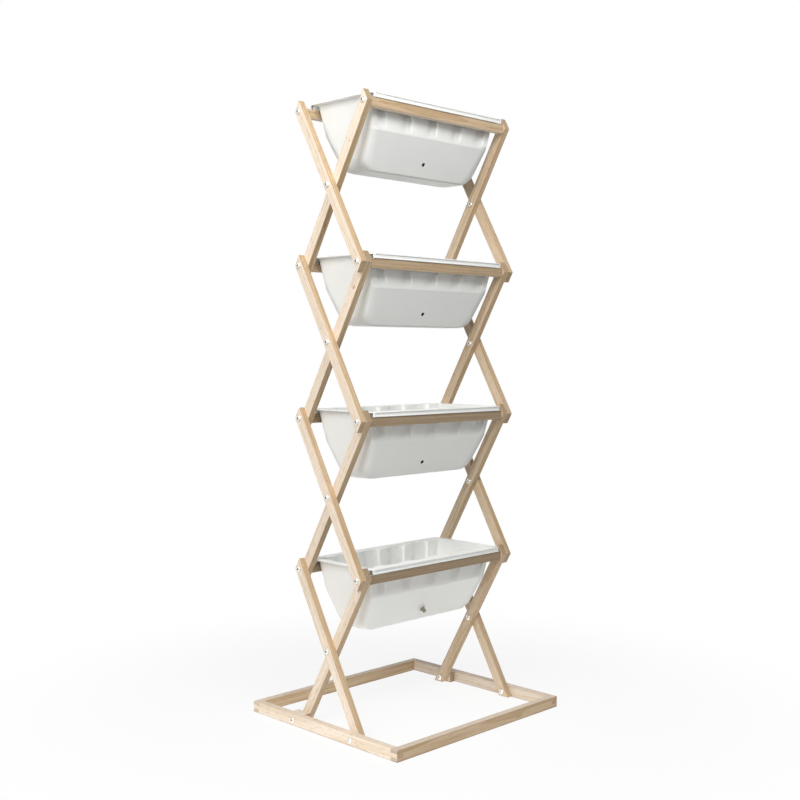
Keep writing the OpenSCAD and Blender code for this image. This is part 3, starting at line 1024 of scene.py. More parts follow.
@dataclass
class BaseFrame:
    """Four finger-jointed boards on edge, with a spacer block behind each back foot."""

    finish: Material
    length: float = 592
    depth: float = 524
    board_t: float = 20
    board_h: float = 28
    joint_y: float = 105
    spacer_len: float = 45
    spacer_in: float = 257.7
    sleeve_bore: float = 8.1
    shank_bore: float = 6.1
    edge_r: float = 1.1
    # painted shade on the front board, painted light on the left board, and painted shade on the right board
    # and its spacer
    front_light: float = 0.84
    side_light: tuple[float, float] = (1.03, 0.82)
    cuts: LogCuts = field(default_factory=lambda: LogCuts(seed=11, light=0.985))
    body: str = "base"

    def fingered(self, size: float, finger: bool) -> Outline:
        """Return a board's side outline.

        Args:
            size: Its length.
            finger: Whether the middle third of each end is a finger, or else a notch.

        Returns:
            Its corners.
        """
        out, inner, third = size / 2, size / 2 - self.board_t, self.board_h / 3
        end, middle = (inner, out) if finger else (out, inner)
        right = [(end, 0), (end, third), (middle, third), (middle, 2 * third), (end, 2 * third),
                 (end, self.board_h)]
        return right + [(-p, z) for p, z in reversed(right)]

    def build(self) -> None:
        """Build the boards and the spacers."""
        half_y, half_x = self.depth / 2, self.length / 2
        for name, low, light in (("front", -half_y, self.front_light), ("back", half_y - self.board_t, 1.0)):
            outline = self.fingered(self.length, finger=False)
            board = extruded(f"board_{name}", outline, Run.ALONG_X, low, low + self.board_t)
            self._finish(board, Run.ALONG_X, light, f"base_{name}_board")
        for side in Side:
            name = side.name.lower()
            low = half_x - self.board_t if side is Side.RIGHT else -half_x
            outline = self.fingered(self.depth, finger=True)
            board = extruded(f"board_{name}", outline, Run.ALONG_Y, low, low + self.board_t)
            middle, height = low + self.board_t / 2, self.board_h / 2
            bores = [
                Bore((middle, self.joint_y, height), self.sleeve_bore),
                Bore((middle, -self.joint_y, height), self.shank_bore),
            ]
            light = self.side_light[side is Side.RIGHT]
            self._finish(board, Run.ALONG_Y, light, f"base_{name}_board", bores)
            self._spacer(side, name, light)

    def _spacer(self, side: Side, name: str, light: float) -> None:
        """Build the spacer of one side.

        Args:
            side: Left or right.
            name: The side's name.
            light: The painted light factor of its side, below 1 for painted shade.
        """
        low_y, high_y = self.joint_y - self.spacer_len / 2, self.joint_y + self.spacer_len / 2
        outline = [(low_y, 0), (high_y, 0), (high_y, self.board_h), (low_y, self.board_h)]
        board_in = self.length / 2 - self.board_t
        low, high = sorted((side.value * self.spacer_in, side.value * board_in))
        block = extruded(f"block_{name}", outline, Run.ALONG_Y, low, high)
        bore = Bore(((low + high) / 2, self.joint_y, self.board_h / 2), self.sleeve_bore)
        self._finish(block, Run.ALONG_Y, light, f"spacer_{name}", [bore])

    def _finish(
        self, board: Object, run: Run, light: float, node: str, bores: Iterable[Bore] = ()
    ) -> None:
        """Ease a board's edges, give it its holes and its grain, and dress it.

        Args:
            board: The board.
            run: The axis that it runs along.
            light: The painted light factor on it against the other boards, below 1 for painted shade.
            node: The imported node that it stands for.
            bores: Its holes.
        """
        ease_edges(board, self.edge_r, bores)
        store_grain(board, run, self.cuts.shift(), self.cuts.tone() * light)
        dress(board, self.body, self.finish, [node])


@dataclass
class Lattice:
    """The two scissor lattices: a pair of crossed laths on each side of every stage, and the rails.

    The finish knotty is for the inner laths of those stages whose left lath has knots.
    """

    sticks: StickTree
    plain: Material
    knotty: dict[int, Material]
    pitch: float = 430
    joint_depth: float = 210
    lath_w: float = 26
    lath_t: float = 18
    foot_level: float = 14
    foot_lift: float = 2
    inner_in: float = 239.4
    outer_in: float = 257.7
    rail_t: float = 18
    rail_h: float = 22
    rail_rise: float = 8.5
    rail_half: float = 239.1
    top_back_rail_half: float = 257.4
    # the lower rails are darker, partly for their browner wood and partly as painted shade
    rail_tones: tuple[float, ...] = (0.53, 0.54, 0.74, 0.86)
    rail_warmth: tuple[float, ...] = (1.2, 1.25, 1.12, 1.03)
    # painted light and shade, left then right: the right laths darker, their cheeks most, and warmer as
    # painted bounce light; the inner left laths' edges darker
    lath_light: tuple[float, float] = (1.0, 0.93)
    lath_warmth: tuple[float, float] = (1.0, 1.4)
    lath_cheek_light: tuple[float, float] = (1.0, 0.84)
    inner_edge_light: tuple[float, float] = (0.84, 1.0)
    edge_r: float = 1.2
    foot_bore: float = 8.1

    @property
    def stage(self) -> float:
        """Height of one stage."""
        return math.sqrt(self.pitch**2 - self.joint_depth**2)

    @property
    def lean(self) -> float:
        """Lean of a lath from upright, in radians."""
        return math.asin(self.joint_depth / self.pitch)

    def level(self, k: float) -> float:
        """Return the height of the joints at the top of stage k."""
        return self.foot_level + k * self.stage

    def lath_sizes(self, k: int, lean: Lean) -> dict[str, float]:
        """Return the stick's sizes for a lath of stage k.

        Both ends are cut along the edges of the laths that cross there. The feet are cut level.

        Args:
            k: Number of the stage, from 1.
            lean: The way that the lath leans.

        Returns:
            The sizes that the stick tree takes.
        """
        slope = -lean.value / math.tan(2 * self.lean)
        reach = self.pitch / 2 + self.lath_w / 2 / math.sin(2 * self.lean)
        sizes = {"Thickness": self.lath_t, "Width": self.lath_w, "High reach": reach, "High slope": slope,
                 "Low reach": reach, "Low slope": slope}
        if k == 1:
            drop = self.foot_level - self.foot_lift
            sizes["Low reach"] = self.pitch / 2 + drop / math.cos(self.lean)
            sizes["Low slope"] = lean.value * math.tan(self.lean)
        return sizes

    def build(self) -> None:
        """Build the laths and the rails of every stage."""
        cuts = LogCuts(seed=23, warmth=self.lath_warmth)
        for k in range(1, STAGES + 1):
            self._lath_pair(k, Lean.TO_BACK, cuts, self.plain)
            self._lath_pair(k, Lean.TO_FRONT, cuts, self.knotty.get(k, self.plain))
        for k in range(1, STAGES + 1):
            tone, warmth = self.rail_tones[k - 1], self.rail_warmth[k - 1]
            rail_cuts = LogCuts(seed=37 + k, light=tone, warmth=(warmth, warmth))
            for y, end in ((-self.joint_depth / 2, "front"), (self.joint_depth / 2, "back")):
                self._rail(k, y, end, rail_cuts)

    def _lath_pair(self, k: int, lean: Lean, cuts: LogCuts, finish: Material) -> None:
        """Build the left and the right lath of one layer of a stage.

        Args:
            k: Number of the stage.
            lean: The way that the laths lean, which also says their layer.
            cuts: Where in the log they come from.
            finish: The timber's material.
        """
        outer = lean is Lean.TO_BACK
        layer, x_in = ("outer", self.outer_in) if outer else ("inner", self.inner_in)
        edges = (1.0, 1.0) if outer else self.inner_edge_light
        x = x_in + self.lath_t / 2
        # painted shade per side; the inner edges' factor is taken back out of the cheeks
        cuts.side_light = tuple(light * edge for light, edge in zip(self.lath_light, edges))
        cuts.cheek_light = tuple(light / edge for light, edge in zip(self.lath_cheek_light, edges))
        places = [Vector((side.value * x, 0, self.level(k - 0.5))) for side in Side]
        turn = Euler((-lean.value * self.lean, 0, 0))
        laths = self.sticks.lay(f"{layer}_laths_{k}", places, self.lath_sizes(k, lean), turn, cuts, finish)
        feet = [(side.value * x, -self.joint_depth / 2, self.foot_level) for side in Side]
        bored = k == 1 and outer
        ease_edges(laths, self.edge_r, [Bore(foot, self.foot_bore) for foot in feet if bored])
        nodes = [f"{layer}_bar_{side.name.lower()}_{k}" for side in Side]
        dress(laths, f"{layer}_bars_{k}", None, nodes)

    def _rail(self, k: int, y: float, end: str, cuts: LogCuts) -> None:
        """Build one rail.

        Args:
            k: Number of the stage.
            y: Middle of the rail from front to back.
            end: "front" or "back".
            cuts: Where in the log it comes from.
        """
        half = self.top_back_rail_half if (k, end) == (STAGES, "back") else self.rail_half
        sizes = {"Thickness": self.rail_h, "Width": self.rail_t, "Low reach": half, "Low slope": 0.0,
                 "High reach": half, "High slope": 0.0}
        place = Vector((0, y, self.level(k) + self.rail_rise - self.rail_h / 2))
        turn = Euler((0, math.pi / 2, 0))
        rail = self.sticks.lay(f"{end}_rail_stick_{k}", [place], sizes, turn, cuts, self.plain)
        ease_edges(rail, self.edge_r)
        dress(rail, f"{end}_rail_set_{k}", None, [f"{end}_rail_{k}"])


@dataclass(frozen=True)
class Shank:
    """The part of a fastener behind its head."""

    diameter: float
    length: float


@dataclass
class Fasteners:
    """Domed socket heads: bolts and sleeve nuts at the crossings and feet, and screws at the rails' ends."""

    tree: FastenerTree
    finish: Material
    head_d: float = 14.5
    edge_h: float = 1.8
    dome_h: float = 2.7
    socket_af: float = 4.0
    socket_depth: float = 2.6
    head_gap: float = 0.2
    cross_bolt: Shank = Shank(6.0, 24)
    cross_nut: Shank = Shank(8.0, 33)
    rail_screw: Shank = Shank(6.0, 50)
    base_bolt: Shank = Shank(6.0, 30)
    base_nut: Shank = Shank(8.0, 53)

    def sizes(self, shank: Shank) -> dict[str, float]:
        """Work out the fastener tree's sizes.

        Args:
            shank: The shank.

        Returns:
            The sizes, in millimetres.
        """
        radius = self.head_d / 2
        return {
            "Head radius": radius, "Edge height": self.edge_h, "Dome height": self.dome_h,
            "Dome radius": (radius**2 + self.dome_h**2) / (2 * self.dome_h),
            "Socket radius": self.socket_af / 2 / math.cos(math.pi / 6),
            "Socket depth": 2 * self.socket_depth,
            "Shank radius": shank.diameter / 2, "Shank length": shank.length,
        }

    def build(self, lattice: Lattice, base: BaseFrame) -> None:
        """Set all the fasteners of the lattice and the back feet.

        Args:
            lattice: The laths that they join.
            base: The base frame.
        """
        inner, back, foot = lattice.inner_in, lattice.joint_depth / 2, lattice.foot_level
        outer = lattice.outer_in + lattice.lath_t + self.head_gap
        rows = []
        for k in range(1, STAGES + 1):
            stage, bars, middle, joint = f"_{k}", f"inner_bars_{k}", lattice.level(k - 0.5), lattice.level(k)
            front = inner + lattice.lath_t + self.head_gap if k == STAGES else outer
            rows += [
                ("cross_bolts", stage, bars, outer, 0, middle, 1, self.cross_bolt),
                ("cross_nuts", stage, bars, inner, 0, middle, -1, self.cross_nut),
                ("front_rail_screws", stage, f"front_rail_set_{k}", front, -back, joint, 1, self.rail_screw),
                ("back_rail_screws", stage, f"back_rail_set_{k}", outer, back, joint, 1, self.rail_screw),
            ]
        rows += [
            ("base_back_bolts", "", base.body, base.length / 2, back, foot, 1, self.base_bolt),
            ("base_back_nuts", "", base.body, inner - self.head_gap, back, foot, -1, self.base_nut),
        ]
        for kind, stage, body, x, y, z, way, shank in rows:
            places = [(Vector((side.value * x, y, z)), Vector((side.value * way, 0, 0))) for side in Side]
            heads = self.tree.set_in(f"{kind}_heads{stage}", places, self.sizes(shank), self.finish)
            dress(heads, body, None, [kind + stage])


@dataclass
class Trough:
    """A planter: a drafted shell with a fluted upper band and slanted panels, and a rim with two lips.

    Heights are from the level of the rail's screws, angles are in degrees.
    """

    finish: Material
    rim_top: float = 21.5
    height: float = 169.5
    band_h: float = 78.5
    band_lean: float = 12.4
    panel_slant: float = 27.5
    end_draft: float = 9.0
    wall: float = 2.5
    rim_corner: float = 14.0
    heel_corner: float = 34.0
    least_corner: float = 0.8
    corner_kink: float = 50.0
    heel_r: float = 35.0
    sole_step: float = 2.0
    sole_inset: float = 4.0
    half_x: float = 222.3
    half_y: float = 95.95
    flutes: int = 5
    flute_pitch: float = 94.0
    flute_w: float = 30.0
    flute_d: float = 9.3
    flute_draft: float = 15.0
    flute_run: float = 73.0
    flute_ease: float = 1.2
    rim_x: float = 238.0
    rim_y: float = 116.0
    rim_cut: float = 14.0
    rim_leads: tuple[float, float] = (6.0, 10.0)
    rim_soft: float = 0.6
    lip_t: float = 2.6
    lip_out: float = 2.0
    skirt_t: float = 2.4
    edge_h: float = 10.5
    edge_drop: float = 1.6
    edge_half: float = 230.0
    edge_r: float = 0.5
    foot_r: float = 0.4
    foot_z: float = 8.8
    foot_y: float = 100.0
    drain_d: float = 10.0
    drain_up: float = 32.0
    collar_len: float = 13.0
    collar_t: float = 1.2
    sharp_angle: float = 28.0
    arc_steps: int = 8
    heel_steps: int = 16
    band_rows: tuple[float, ...] = (0, 5, 14, 24, 34, 44, 52, 60, 66)
    run_out_rows: tuple[float, ...] = (3, 1, 0)
    crease_rows: tuple[float, ...] = (2.4, 1.2, 0.4, -0.4, -1.2, -2.4, -8)
    panel_rows: tuple[float, ...] = (0.35, 0.6, 0.8)
    flank_steps: tuple[float, ...] = (0.0, 0.18, 0.38, 0.62, 0.82, 1.0)
    gap_steps: tuple[float, ...] = (0.4, 0.5, 0.6)
    end_steps: tuple[float, ...] = (-0.6, -0.2, 0.2, 0.6)

    @property
    def crease(self) -> float:
        """Height of the crease between the fluted band and the panels."""
        return self.rim_top - self.band_h

    @property
    def bottom(self) -> float:
        """Height of the flat bottom."""
        return self.rim_top - self.height

    @property
    def drain(self) -> Vector:
        """Middle of the drain hole on the front panel's outer skin."""
        z = self.bottom + self.drain_up
        return Vector((0, -self.depth_at(z), z))

    def depth_at(self, z: float) -> float:
        """Work out the shell's half depth, without the flutes.

        Args:
            z: The height.

        Returns:
            Half the depth there.
        """
        if z > self.crease:
            return self.half_y - (self.rim_top - z) * self.band_lean / self.band_h
        slant = math.tan(math.radians(self.panel_slant))
        return self.half_y - self.band_lean - (self.crease - z) * slant

    def corner_at(self, z: float) -> float:
        """Return the corner radius at height z, seen from above. The corner meets the panels at an angle."""
        return self.heel_corner + (self.rim_corner - self.heel_corner) * (z - self.bottom) / self.height

    def flute_depth_at(self, z: float) -> float:
        """Return how deep the flutes are at height z. They run out above the crease."""
        return max(0.0, self.flute_d * (1 - (self.rim_top - z) / self.flute_run))

    def levels(self, inset: float) -> list[tuple[float, float, float]]:
        """List the sections of the shell from the rim down.

        Args:
            inset: 0 for the outer skin, or the wall for the inner one.

        Returns:
            For each its height, its half length and how far its long sides stand back from the panels.
        """
        draft = math.radians(self.end_draft)
        heel_z = self.bottom + self.heel_r
        heel_x = self.half_x - (self.rim_top - heel_z) * math.tan(draft) - self.heel_r / math.cos(draft)
        upper = [self.rim_top - s for s in self.band_rows]
        upper += [self.rim_top - self.flute_run + s for s in self.run_out_rows]
        upper += [self.crease + s for s in self.crease_rows]
        upper += [self.crease + (heel_z - self.crease) * s for s in self.panel_rows]
        rim_x = self.half_x - inset / math.cos(draft)
        rows = [(z, rim_x - (self.rim_top - z) * math.tan(draft), 0.0) for z in upper]
        radius = self.heel_r - inset
        for i in range(self.heel_steps + 1):
            turn = draft + (math.pi / 2 - draft) * i / self.heel_steps
            z = heel_z - radius * math.sin(turn)
            in_sole = not inset and z - self.bottom < self.sole_step
            rows.append((z, heel_x + radius * math.cos(turn), self.sole_inset if in_sole else 0.0))
        return rows

    def ring(self, z: float, half_x: float, drawn: float, inset: float) -> list[Vector]:
        """Make one section of the shell.

        Args:
            z: Its height.
            half_x: Its half length.
            drawn: How far its long sides stand back from the panels.
            inset: 0 for the outer skin, or the wall for the inner one.

        Returns:
            Its points, from the front left round to the right, in millimetres.
        """
        band_slant = math.atan(self.band_lean / self.band_h)
        slant = band_slant if z > self.crease else math.radians(self.panel_slant)
        half_y = self.depth_at(z) - inset / math.cos(slant) - drawn
        radius = max(self.least_corner, self.corner_at(z) - inset)
        deep = self.flute_depth_at(z)
        if deep:
            deep += inset - inset / math.cos(slant)
        front = self._front(half_x - radius, half_y, deep, inset, z)
        ends = [Vector((half_x, (half_y - radius) * s, z)) for s in self.end_steps]
        set_in = radius * math.cos(math.radians(self.corner_kink))
        turn = 90 - self.corner_kink
        corner = self._corner(half_x - radius, set_in - half_y, radius, -turn, 0, z)
        next_corner = self._corner(half_x - radius, half_y - set_in, radius, 0, turn, z)
        return self._both_halves(front + corner + ends + next_corner)

    def _front(self, reach: float, half_y: float, deep: float, inset: float, z: float) -> list[Vector]:
        """Return the front of a section, with its flutes.

        Args:
            reach: Where the corners start.
            half_y: Half depth of the section.
            deep: Depth of the flutes.
            inset: 0 for the outer skin, or the wall for the inner one.
            z: Height of the section.

        Returns:
            Its points from left to right.
        """
        least_deep, corner_gap = 0.05, 0.4
        flank = max(least_deep, deep) * math.tan(math.radians(self.flute_draft)) + self.flute_ease
        half_floor = self.flute_w / 2 - self.flute_ease / 2 + inset
        last = (self.flutes - 1) / 2
        squeeze = min(1.0, (reach - corner_gap) / (last * self.flute_pitch + half_floor + flank))
        flanks = [(half_floor + flank * (1 - t), t * t * (3 - 2 * t)) for t in self.flank_steps]
        stations: Outline = []
        for i in range(self.flutes):
            centre = (i - last) * self.flute_pitch
            stations += [(centre - away, sunk) for away, sunk in flanks]
            stations += [(centre - half_floor / 3, 1.0), (centre + half_floor / 3, 1.0)]
            stations += [(centre + away, sunk) for away, sunk in reversed(flanks)]
            if i < self.flutes - 1:
                stations += [(centre + self.flute_pitch * s, 0.0) for s in self.gap_steps]
        return [Vector((x * squeeze, -half_y + deep * sunk, z)) for x, sunk in stations]

    def _corner(
        self, x: float, y: float, radius: float, start: float, stop: float, z: float
    ) -> list[Vector]:
        """Make the arc of a corner.

        Args:
            x: Middle of the arc from left to right.
            y: Its middle from front to back.
            radius: Its radius.
            start: The angle where it starts, in degrees from the right.
            stop: The angle where it ends.
            z: Its height.

        Returns:
            Its points.
        """
        steps = range(self.arc_steps + 1)
        angles = [math.radians(start + (stop - start) * i / self.arc_steps) for i in steps]
        return [Vector((x + radius * math.cos(a), y + radius * math.sin(a), z)) for a in angles]

    def _both_halves(self, half: list[Vector]) -> list[Vector]:
        """Return half of a section with its other half, which is the same turned round."""
        return half + [Vector((-p.x, -p.y, p.z)) for p in half]

    def rim_ring(self, top: list[Vector], margin: float, z: float) -> list[Vector]:
        """Spread a section out to the rim's plan, which has cut corners.

        Args:
            top: The shell's topmost section.
            margin: How far inside the rim's plan the points lie.
            z: Their height.

        Returns:
            One point for each point of the section.
        """
        x, y, cut = self.rim_x - margin, self.rim_y - margin, self.rim_cut
        lead_x, lead_y = self.rim_leads
        arc = self.arc_steps + 1
        ends = len(self.end_steps)
        front = len(top) // 2 - 2 * arc - ends
        near = [(x - cut - lead_x, -y), (x - cut, -y), (x, -y + cut), (x, -y + cut + lead_y)]
        far = [(x, y - cut - lead_y), (x, y - cut), (x - cut, y), (x - cut - lead_x, y)]
        spread = [Vector((p.x, -y, z)) for p in top[:front]] + self._spaced(near, z)
        spread += [Vector((x, p.y, z)) for p in top[front + arc : front + arc + ends]] + self._spaced(far, z)
        return self._both_halves(spread)

    def _spaced(self, corners: Outline, z: float) -> list[Vector]:
        """Space points over a path of four corners.

        Args:
            corners: The corners.
            z: Their height.

        Returns:
            As many points as an arc has, one on each corner.
        """
        lead = 2
        points = []
        for (x0, y0), (x1, y1), count in zip(corners, corners[1:], (lead, self.arc_steps - 2 * lead, lead)):
            for i in range(count):
                points.append(Vector((x0 + (x1 - x0) * i / count, y0 + (y1 - y0) * i / count, z)))
        return points + [Vector((*corners[-1], z))]

    def shell(self) -> BMesh:
        """Make the shell with its flat rim as one closed skin.

        Returns:
            The shell, in metres.
        """
        outer = [self.ring(z, x, drawn, 0.0) for z, x, drawn in self.levels(0.0)]
        inner = [self.ring(z, x, drawn, self.wall) for z, x, drawn in self.levels(self.wall)]
        under, soft = self.rim_top - self.lip_t, self.rim_soft
        neck = [Vector((p.x, p.y, under)) for p in outer[0]]
        spots = ((soft, under), (0.0, under + soft), (0.0, self.rim_top - soft), (soft, self.rim_top))
        rim = [self.rim_ring(outer[0], margin, z) for margin, z in spots]
        return skinned(outer[:0:-1] + [neck] + rim + inner)

    def mould(self) -> Mesh:
        """Mould one trough at the level of its rail's screws, with its drain hole.

        Returns:
            The trough's mesh.
        """
        shell = mesh_object("trough_shell", as_mesh(self.shell(), "trough_shell"))
        self._drill_drain(shell)
        low = self.rim_top - self.edge_h - self.edge_drop
        high = self.rim_top - self.lip_t / 2
        out, back = self.rim_y - self.lip_out, self.rim_y - self.lip_out - self.skirt_t
        edge = [(self.rim_y, low), (self.rim_y, low + self.lip_t), (out, low + self.lip_t), (out, high),
                (back, high), (back, low)]
        foot_y = self.foot_y + self.skirt_t
        foot = [(self.foot_y, self.foot_z), (foot_y, self.foot_z), (foot_y, high), (self.foot_y, high)]
        parts = [shell]
        for side in Side:
            for name, outline, radius in (("edge", edge, self.edge_r), ("foot", foot, self.foot_r)):
                outline = [(side.value * y, z) for y, z in outline]
                run = extruded(name, outline, Run.ALONG_Y, -self.edge_half, self.edge_half)
                parts.append(ease_edges(run, radius))
        whole = bmesh.new()
        for part in parts:
            whole.from_mesh(part.data)
            bpy.data.objects.remove(part)
        moulded = as_mesh(whole, "trough")
        moulded.shade_smooth()
        moulded.set_sharp_from_angle(angle=math.radians(self.sharp_angle))
        return moulded

    def _drill_drain(self, shell: Object) -> None:
        """Add the collar inside the front panel, drill the drain hole and mark its wall for painted shade.

        Args:
            shell: The shell.
        """
        slant = math.radians(self.panel_slant)
        inwards = Vector((0, math.cos(slant), math.sin(slant)))
        middle = self.drain + inwards * (self.wall / 2 + self.collar_len) / 2
        collar_d, collar_len = self.drain_d + 2 * self.collar_t, self.collar_len - self.wall / 2
        Bore(tuple(middle), collar_d, collar_len, tuple(inwards)).cut(shell, "UNION")
        Bore(tuple(self.drain), self.drain_d, 4 * self.collar_len, tuple(inwards)).cut(shell)
        # painted shade: the hole's wall is marked so that it is coloured dark
        write(shell.data, "recess", [self._in_drain(face, inwards) for face in shell.data.polygons], "FACE")

    def _in_drain(self, face: MeshPolygon, inwards: Vector) -> float:
        """Tell whether a face is on the drain hole's wall.

        Args:
            face: A face of the shell.
            inwards: The hole's axis.

        Returns:
            1 for a face on the hole's wall, and 0 for the rest.
        """
        away = face.center - self.drain * MM
        radius = (away - inwards * away.dot(inwards)).length
        near = radius < (self.drain_d / 2 + self.collar_t / 2) * MM
        return float(near and abs(face.normal.dot(inwards)) < 0.5)

    def build(self, lattice: Lattice) -> None:
        """Set a trough on the rails of every stage.

        Args:
            lattice: The lattice that carries them.
        """
        moulded = self.mould()
        for k in range(1, STAGES + 1):
            mesh = moulded.copy()
            mesh.transform(Matrix.Translation((0, 0, lattice.level(k) * MM)))
            piece = mesh_object(f"trough_{k}", mesh)
            dress(piece, f"planter_body_{k}", self.finish, [f"planter_{k}"])


@dataclass
class DrainPlug:
    """The lowest trough's drain plug: a pale seal and a turned plug with a waist."""

    rubber: Material
    plastic: Material
    seal_d: float = 20.0
    seal_t: float = 2.0
    seal_r: float = 0.7
    seal_chamfer: float = 0.2
    stand_off: float = 0.3
    collar_d: float = 12.6
    waist_d: float = 7.6
    waist_flares: tuple[tuple[float, float], ...] = ((0.9, -1.6), (0.0, 0.0), (0.6, 1.4))
    grip_d: float = 10.6
    grip_t: float = 2.6
    height: float = 10.5
    edge: float = 0.5
    stem_d: float = 9.84
    stem_in: float = 9.5
    segments: int = 40
    sharp_angle: float = 35
    body: str = "plug"

    def turned(self, profile: Outline) -> BMesh:
        """Turn a profile about Z into a closed solid.

        Args:
            profile: Points as (radius, height) in millimetres, from axis to axis or as a closed loop.

        Returns:
            The solid, in metres.
        """
        angles = [2 * math.pi * i / self.segments for i in range(self.segments)]
        rings = [[Vector((r * math.cos(a), r * math.sin(a), z)) for a in angles] for r, z in profile]
        return skinned(rings, looped=profile[0][0] > 0)

    def seal(self) -> BMesh:
        """Make the seal, a ring with a rounded outer edge.

        Returns:
            The seal.
        """
        low, out, bore = self.stand_off, self.seal_d / 2, self.stem_d / 2
        top = low + self.seal_t
        side = self._eased(out, low, top, self.seal_r, self.seal_chamfer)
        return self.turned([(bore, low)] + side + [(bore, top)])

    def grip(self) -> BMesh:
        """Make the plug: its stem, its collar on the seal, its drawn-in waist and its outer end.

        Returns:
            The plug.
        """
        low = self.stand_off + self.seal_t
        top, middle = low + self.height, low + self.height / 2
        stem, soft, fine = self.stem_d / 2, self.edge, 0.3 * self.edge
        profile = [(0, -self.stem_in), (stem - soft, -self.stem_in), (stem, soft - self.stem_in)]
        profile.append((stem, low))
        profile += self._eased(self.collar_d / 2, low, low + self.grip_t, soft, fine)
        profile += [(self.waist_d / 2 + out, middle + up) for out, up in self.waist_flares]
        profile += self._eased(self.grip_d / 2, top - self.grip_t, top, soft, fine)
        return self.turned(profile + [(0, top)])

    def _eased(self, radius: float, low: float, high: float, soft: float, fine: float) -> Outline:
        """Return the side of a disc whose two edges are eased.

        Args:
            radius: Radius of the disc.
            low: Height of its lower face.
            high: Height of its upper face.
            soft: Size of the easing.
            fine: How far in from both faces its middle point lies.

        Returns:
            Points as (radius, height), from the lower face up.
        """
        lower = [(radius - soft, low), (radius - fine, low + fine), (radius, low + soft)]
        return lower + [(r, low + high - z) for r, z in reversed(lower)]

    def build(self, trough: Trough, lattice: Lattice) -> None:
        """Build the seal and the plug on the lowest trough.

        Args:
            trough: The trough that it closes.
            lattice: The lattice that carries the trough.
        """
        spot = (trough.drain + Vector((0, 0, lattice.level(1)))) * MM
        place = Matrix.Translation(spot) @ Matrix.Rotation(math.radians(90 + trough.panel_slant), 4, "X")
        for name, solid, slot, finish, node in (
            ("seal_ring", self.seal(), Slot.SEAL, self.rubber, "drain_seal"),
            ("waisted_plug", self.grip(), Slot.PLUG, self.plastic, "drain_plug"),
        ):
            mesh = as_mesh(solid, name)
            mesh.transform(place)
            mesh.shade_smooth()
            mesh.set_sharp_from_angle(angle=math.radians(self.sharp_angle))
            dress(mesh_object(name, mesh), self.body, finish, [node])


# Stage


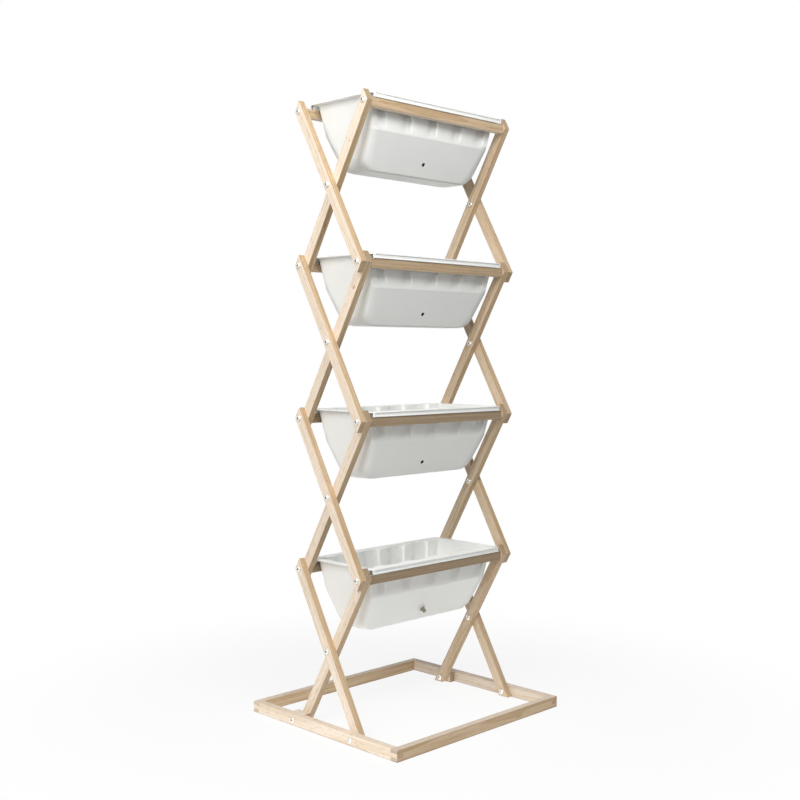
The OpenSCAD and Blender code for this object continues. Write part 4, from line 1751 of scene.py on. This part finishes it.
@dataclass
class Studio:
    """Pale floor, soft lamps, white surroundings and the camera of the photograph."""

    camera_at: tuple[float, float, float] = (-2.1079, -2.0779, 0.9315)
    yaw: float = 0.786
    pitch: float = -0.0428
    roll: float = 0.0029
    lens: float = 51.82
    sensor: float = 36.0
    ambient: float = 0.09
    floor_colour: str = "#FBFBFB"
    floor_bounce: str = "#C9C9C8"
    floor_size: float = 14.0
    floor_segments: int = 96
    fade: tuple[float, float] = (0.45, 1.3)  # metres from the middle between which the floor turns white
    least_fade: float = 0.86  # how white it is up to there

    def build(self) -> None:
        """Build the stage, the lamps and the camera."""
        self._world()
        self._floor()
        self._lamp("key_softbox", (-2.7, -0.75, 2.25), (0, 0, 0.7), (2.4, 2.4), 84)
        self._lamp("front_softbox", (-0.6, -1.45, 2.42), (-0.1, -0.1, 1.2), (1.0, 0.8), 28.5)
        self._lamp("side_fill", (2.6, 0.9, 0.95), (0, 0, 0.8), (1.6, 1.6), 13)
        self._lamp("floor_glow", (0, 0, 0.001), (0, 0, 1), (1.4, 1.4), 3.8).visible_camera = False
        self._camera()
        bpy.context.scene.view_settings.view_transform = "Standard"

    def _world(self) -> None:
        """White to the camera and in reflections, and an even grey light on matt surfaces."""
        world = bpy.data.worlds.new("white_room")
        bpy.context.scene.world = world
        world.use_nodes = True
        world.node_tree.nodes.clear()
        graph = Graph(world.node_tree)
        strength = graph.mapped(self._seen(graph), 0.0, 1.0, self.ambient, 1.0)
        glow = graph.add("ShaderNodeBackground", {"Color": (1, 1, 1, 1), "Strength": strength})[0]
        graph.add("ShaderNodeOutputWorld", {"Surface": glow})

    def _seen(self, graph: Graph) -> NodeSocket:
        """Tell the rays that see the stage from those that only light it.

        Args:
            graph: The tree.

        Returns:
            1 for rays from the camera, reflections and glass, and 0 for the rest.
        """
        path = graph.add("ShaderNodeLightPath")
        first = graph.number("MAXIMUM", path["Is Camera Ray"], path["Is Glossy Ray"])
        return graph.number("MAXIMUM", first, path["Is Transmission Ray"])

    def _floor(self) -> None:
        """Lay a pale floor that keeps the shadow and turns into plain white further out."""
        disc = bmesh.new()
        bmesh.ops.create_circle(disc, cap_ends=True, segments=self.floor_segments, radius=self.floor_size)
        floor = mesh_object("floor", as_mesh(disc, "floor"))
        material, graph = new_material("painted_floor")
        seen = self._seen(graph)
        colour = graph.mixed_colour(seen, linear(self.floor_bounce), linear(self.floor_colour))
        matt = graph.add("ShaderNodeBsdfDiffuse", {"Color": colour})[0]
        white = graph.add("ShaderNodeEmission", {"Color": (1, 1, 1, 1), "Strength": 1.0})[0]
        distance = graph.vector("LENGTH", graph.object_place())
        share = graph.mapped(distance, *self.fade, self.least_fade, 1.0, SMOOTH)
        share = graph.number("MULTIPLY", share, seen)
        surface = graph.add("ShaderNodeMixShader", {0: share, 1: matt, 2: white})[0]
        graph.add("ShaderNodeOutputMaterial", {"Surface": surface})
        floor.data.materials.append(material)

    def _lamp(
        self, name: str, place: tuple[float, float, float], aim: tuple[float, float, float],
        size: tuple[float, float], power: float,
    ) -> Object:
        """Set a soft lamp, which is a glowing rectangle.

        Args:
            name: Its name.
            place: Its middle, in metres.
            aim: The point it faces.
            size: Width and height.
            power: Its power in watts.

        Returns:
            The lamp.
        """
        light = bpy.data.lights.new(name, "AREA")
        light.shape = "RECTANGLE"
        light.size, light.size_y = size
        light.energy = power
        lamp = bpy.data.objects.new(name, light)
        lamp.location = place
        lamp.rotation_euler = (Vector(aim) - Vector(place)).to_track_quat("-Z", "Y").to_euler()
        bpy.context.scene.collection.objects.link(lamp)
        return lamp

    def _camera(self) -> None:
        """Stand the camera where the photograph was taken from."""
        data = bpy.data.cameras.new("photo_camera")
        data.lens, data.sensor_width = self.lens, self.sensor
        camera = bpy.data.objects.new("photo_camera", data)
        heading = Matrix.Rotation(-self.yaw, 4, "Z") @ Matrix.Rotation(math.pi / 2 + self.pitch, 4, "X")
        turn = heading @ Matrix.Rotation(self.roll, 4, "Z")
        camera.matrix_world = Matrix.Translation(self.camera_at) @ turn
        bpy.context.scene.collection.objects.link(camera)
        bpy.context.scene.camera = camera


def dress_kept_nodes(nodes: Iterable[str], finish: Material) -> None:
    """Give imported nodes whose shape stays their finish.

    Args:
        nodes: Their names.
        finish: Their material.
    """
    for name in nodes:
        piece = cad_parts[name]
        piece.data.materials.clear()
        piece.data.materials.append(finish)
        log.info("%s keeps its shape", name)


def main() -> None:
    """Build the stand, then the stage."""
    logging.basicConfig(level=logging.INFO, format="%(name)s: %(message)s")
    ash = PlanedAsh().material()
    pin_knots = (Knot(7.5, 117, 1.6, 0.7), Knot(-5, 115, 1.6, 0.7))
    knotty = {
        3: PlanedAsh(name="planed_ash_with_knot", knots=(Knot(-2.5, 149, 4.5),)).material(),
        4: PlanedAsh(name="planed_ash_with_pin_knots", knots=pin_knots).material(),
    }
    white = MouldedPlastic("white_polypropylene", "#F1F2EF").material()
    zinc = ZincPlate().material()
    rubber = MouldedPlastic("pale_silicone", "#DEDED8", roughness=(0.46, 0.55), skin_mm=0.5).material()
    grey = MouldedPlastic("grey_nylon", "#857D6D", roughness=(0.41, 0.5), mottle=0.06).material()
    base, lattice, trough = BaseFrame(ash), Lattice(StickTree(), ash, knotty), Trough(white)
    base.build()
    lattice.build()
    Fasteners(FastenerTree(), zinc).build(lattice, base)
    dress_kept_nodes(["base_front_bolts", "base_front_nuts"], zinc)
    trough.build(lattice)
    DrainPlug(rubber, grey).build(trough, lattice)
    Studio().build()


if __name__ == "__main__":
    main()
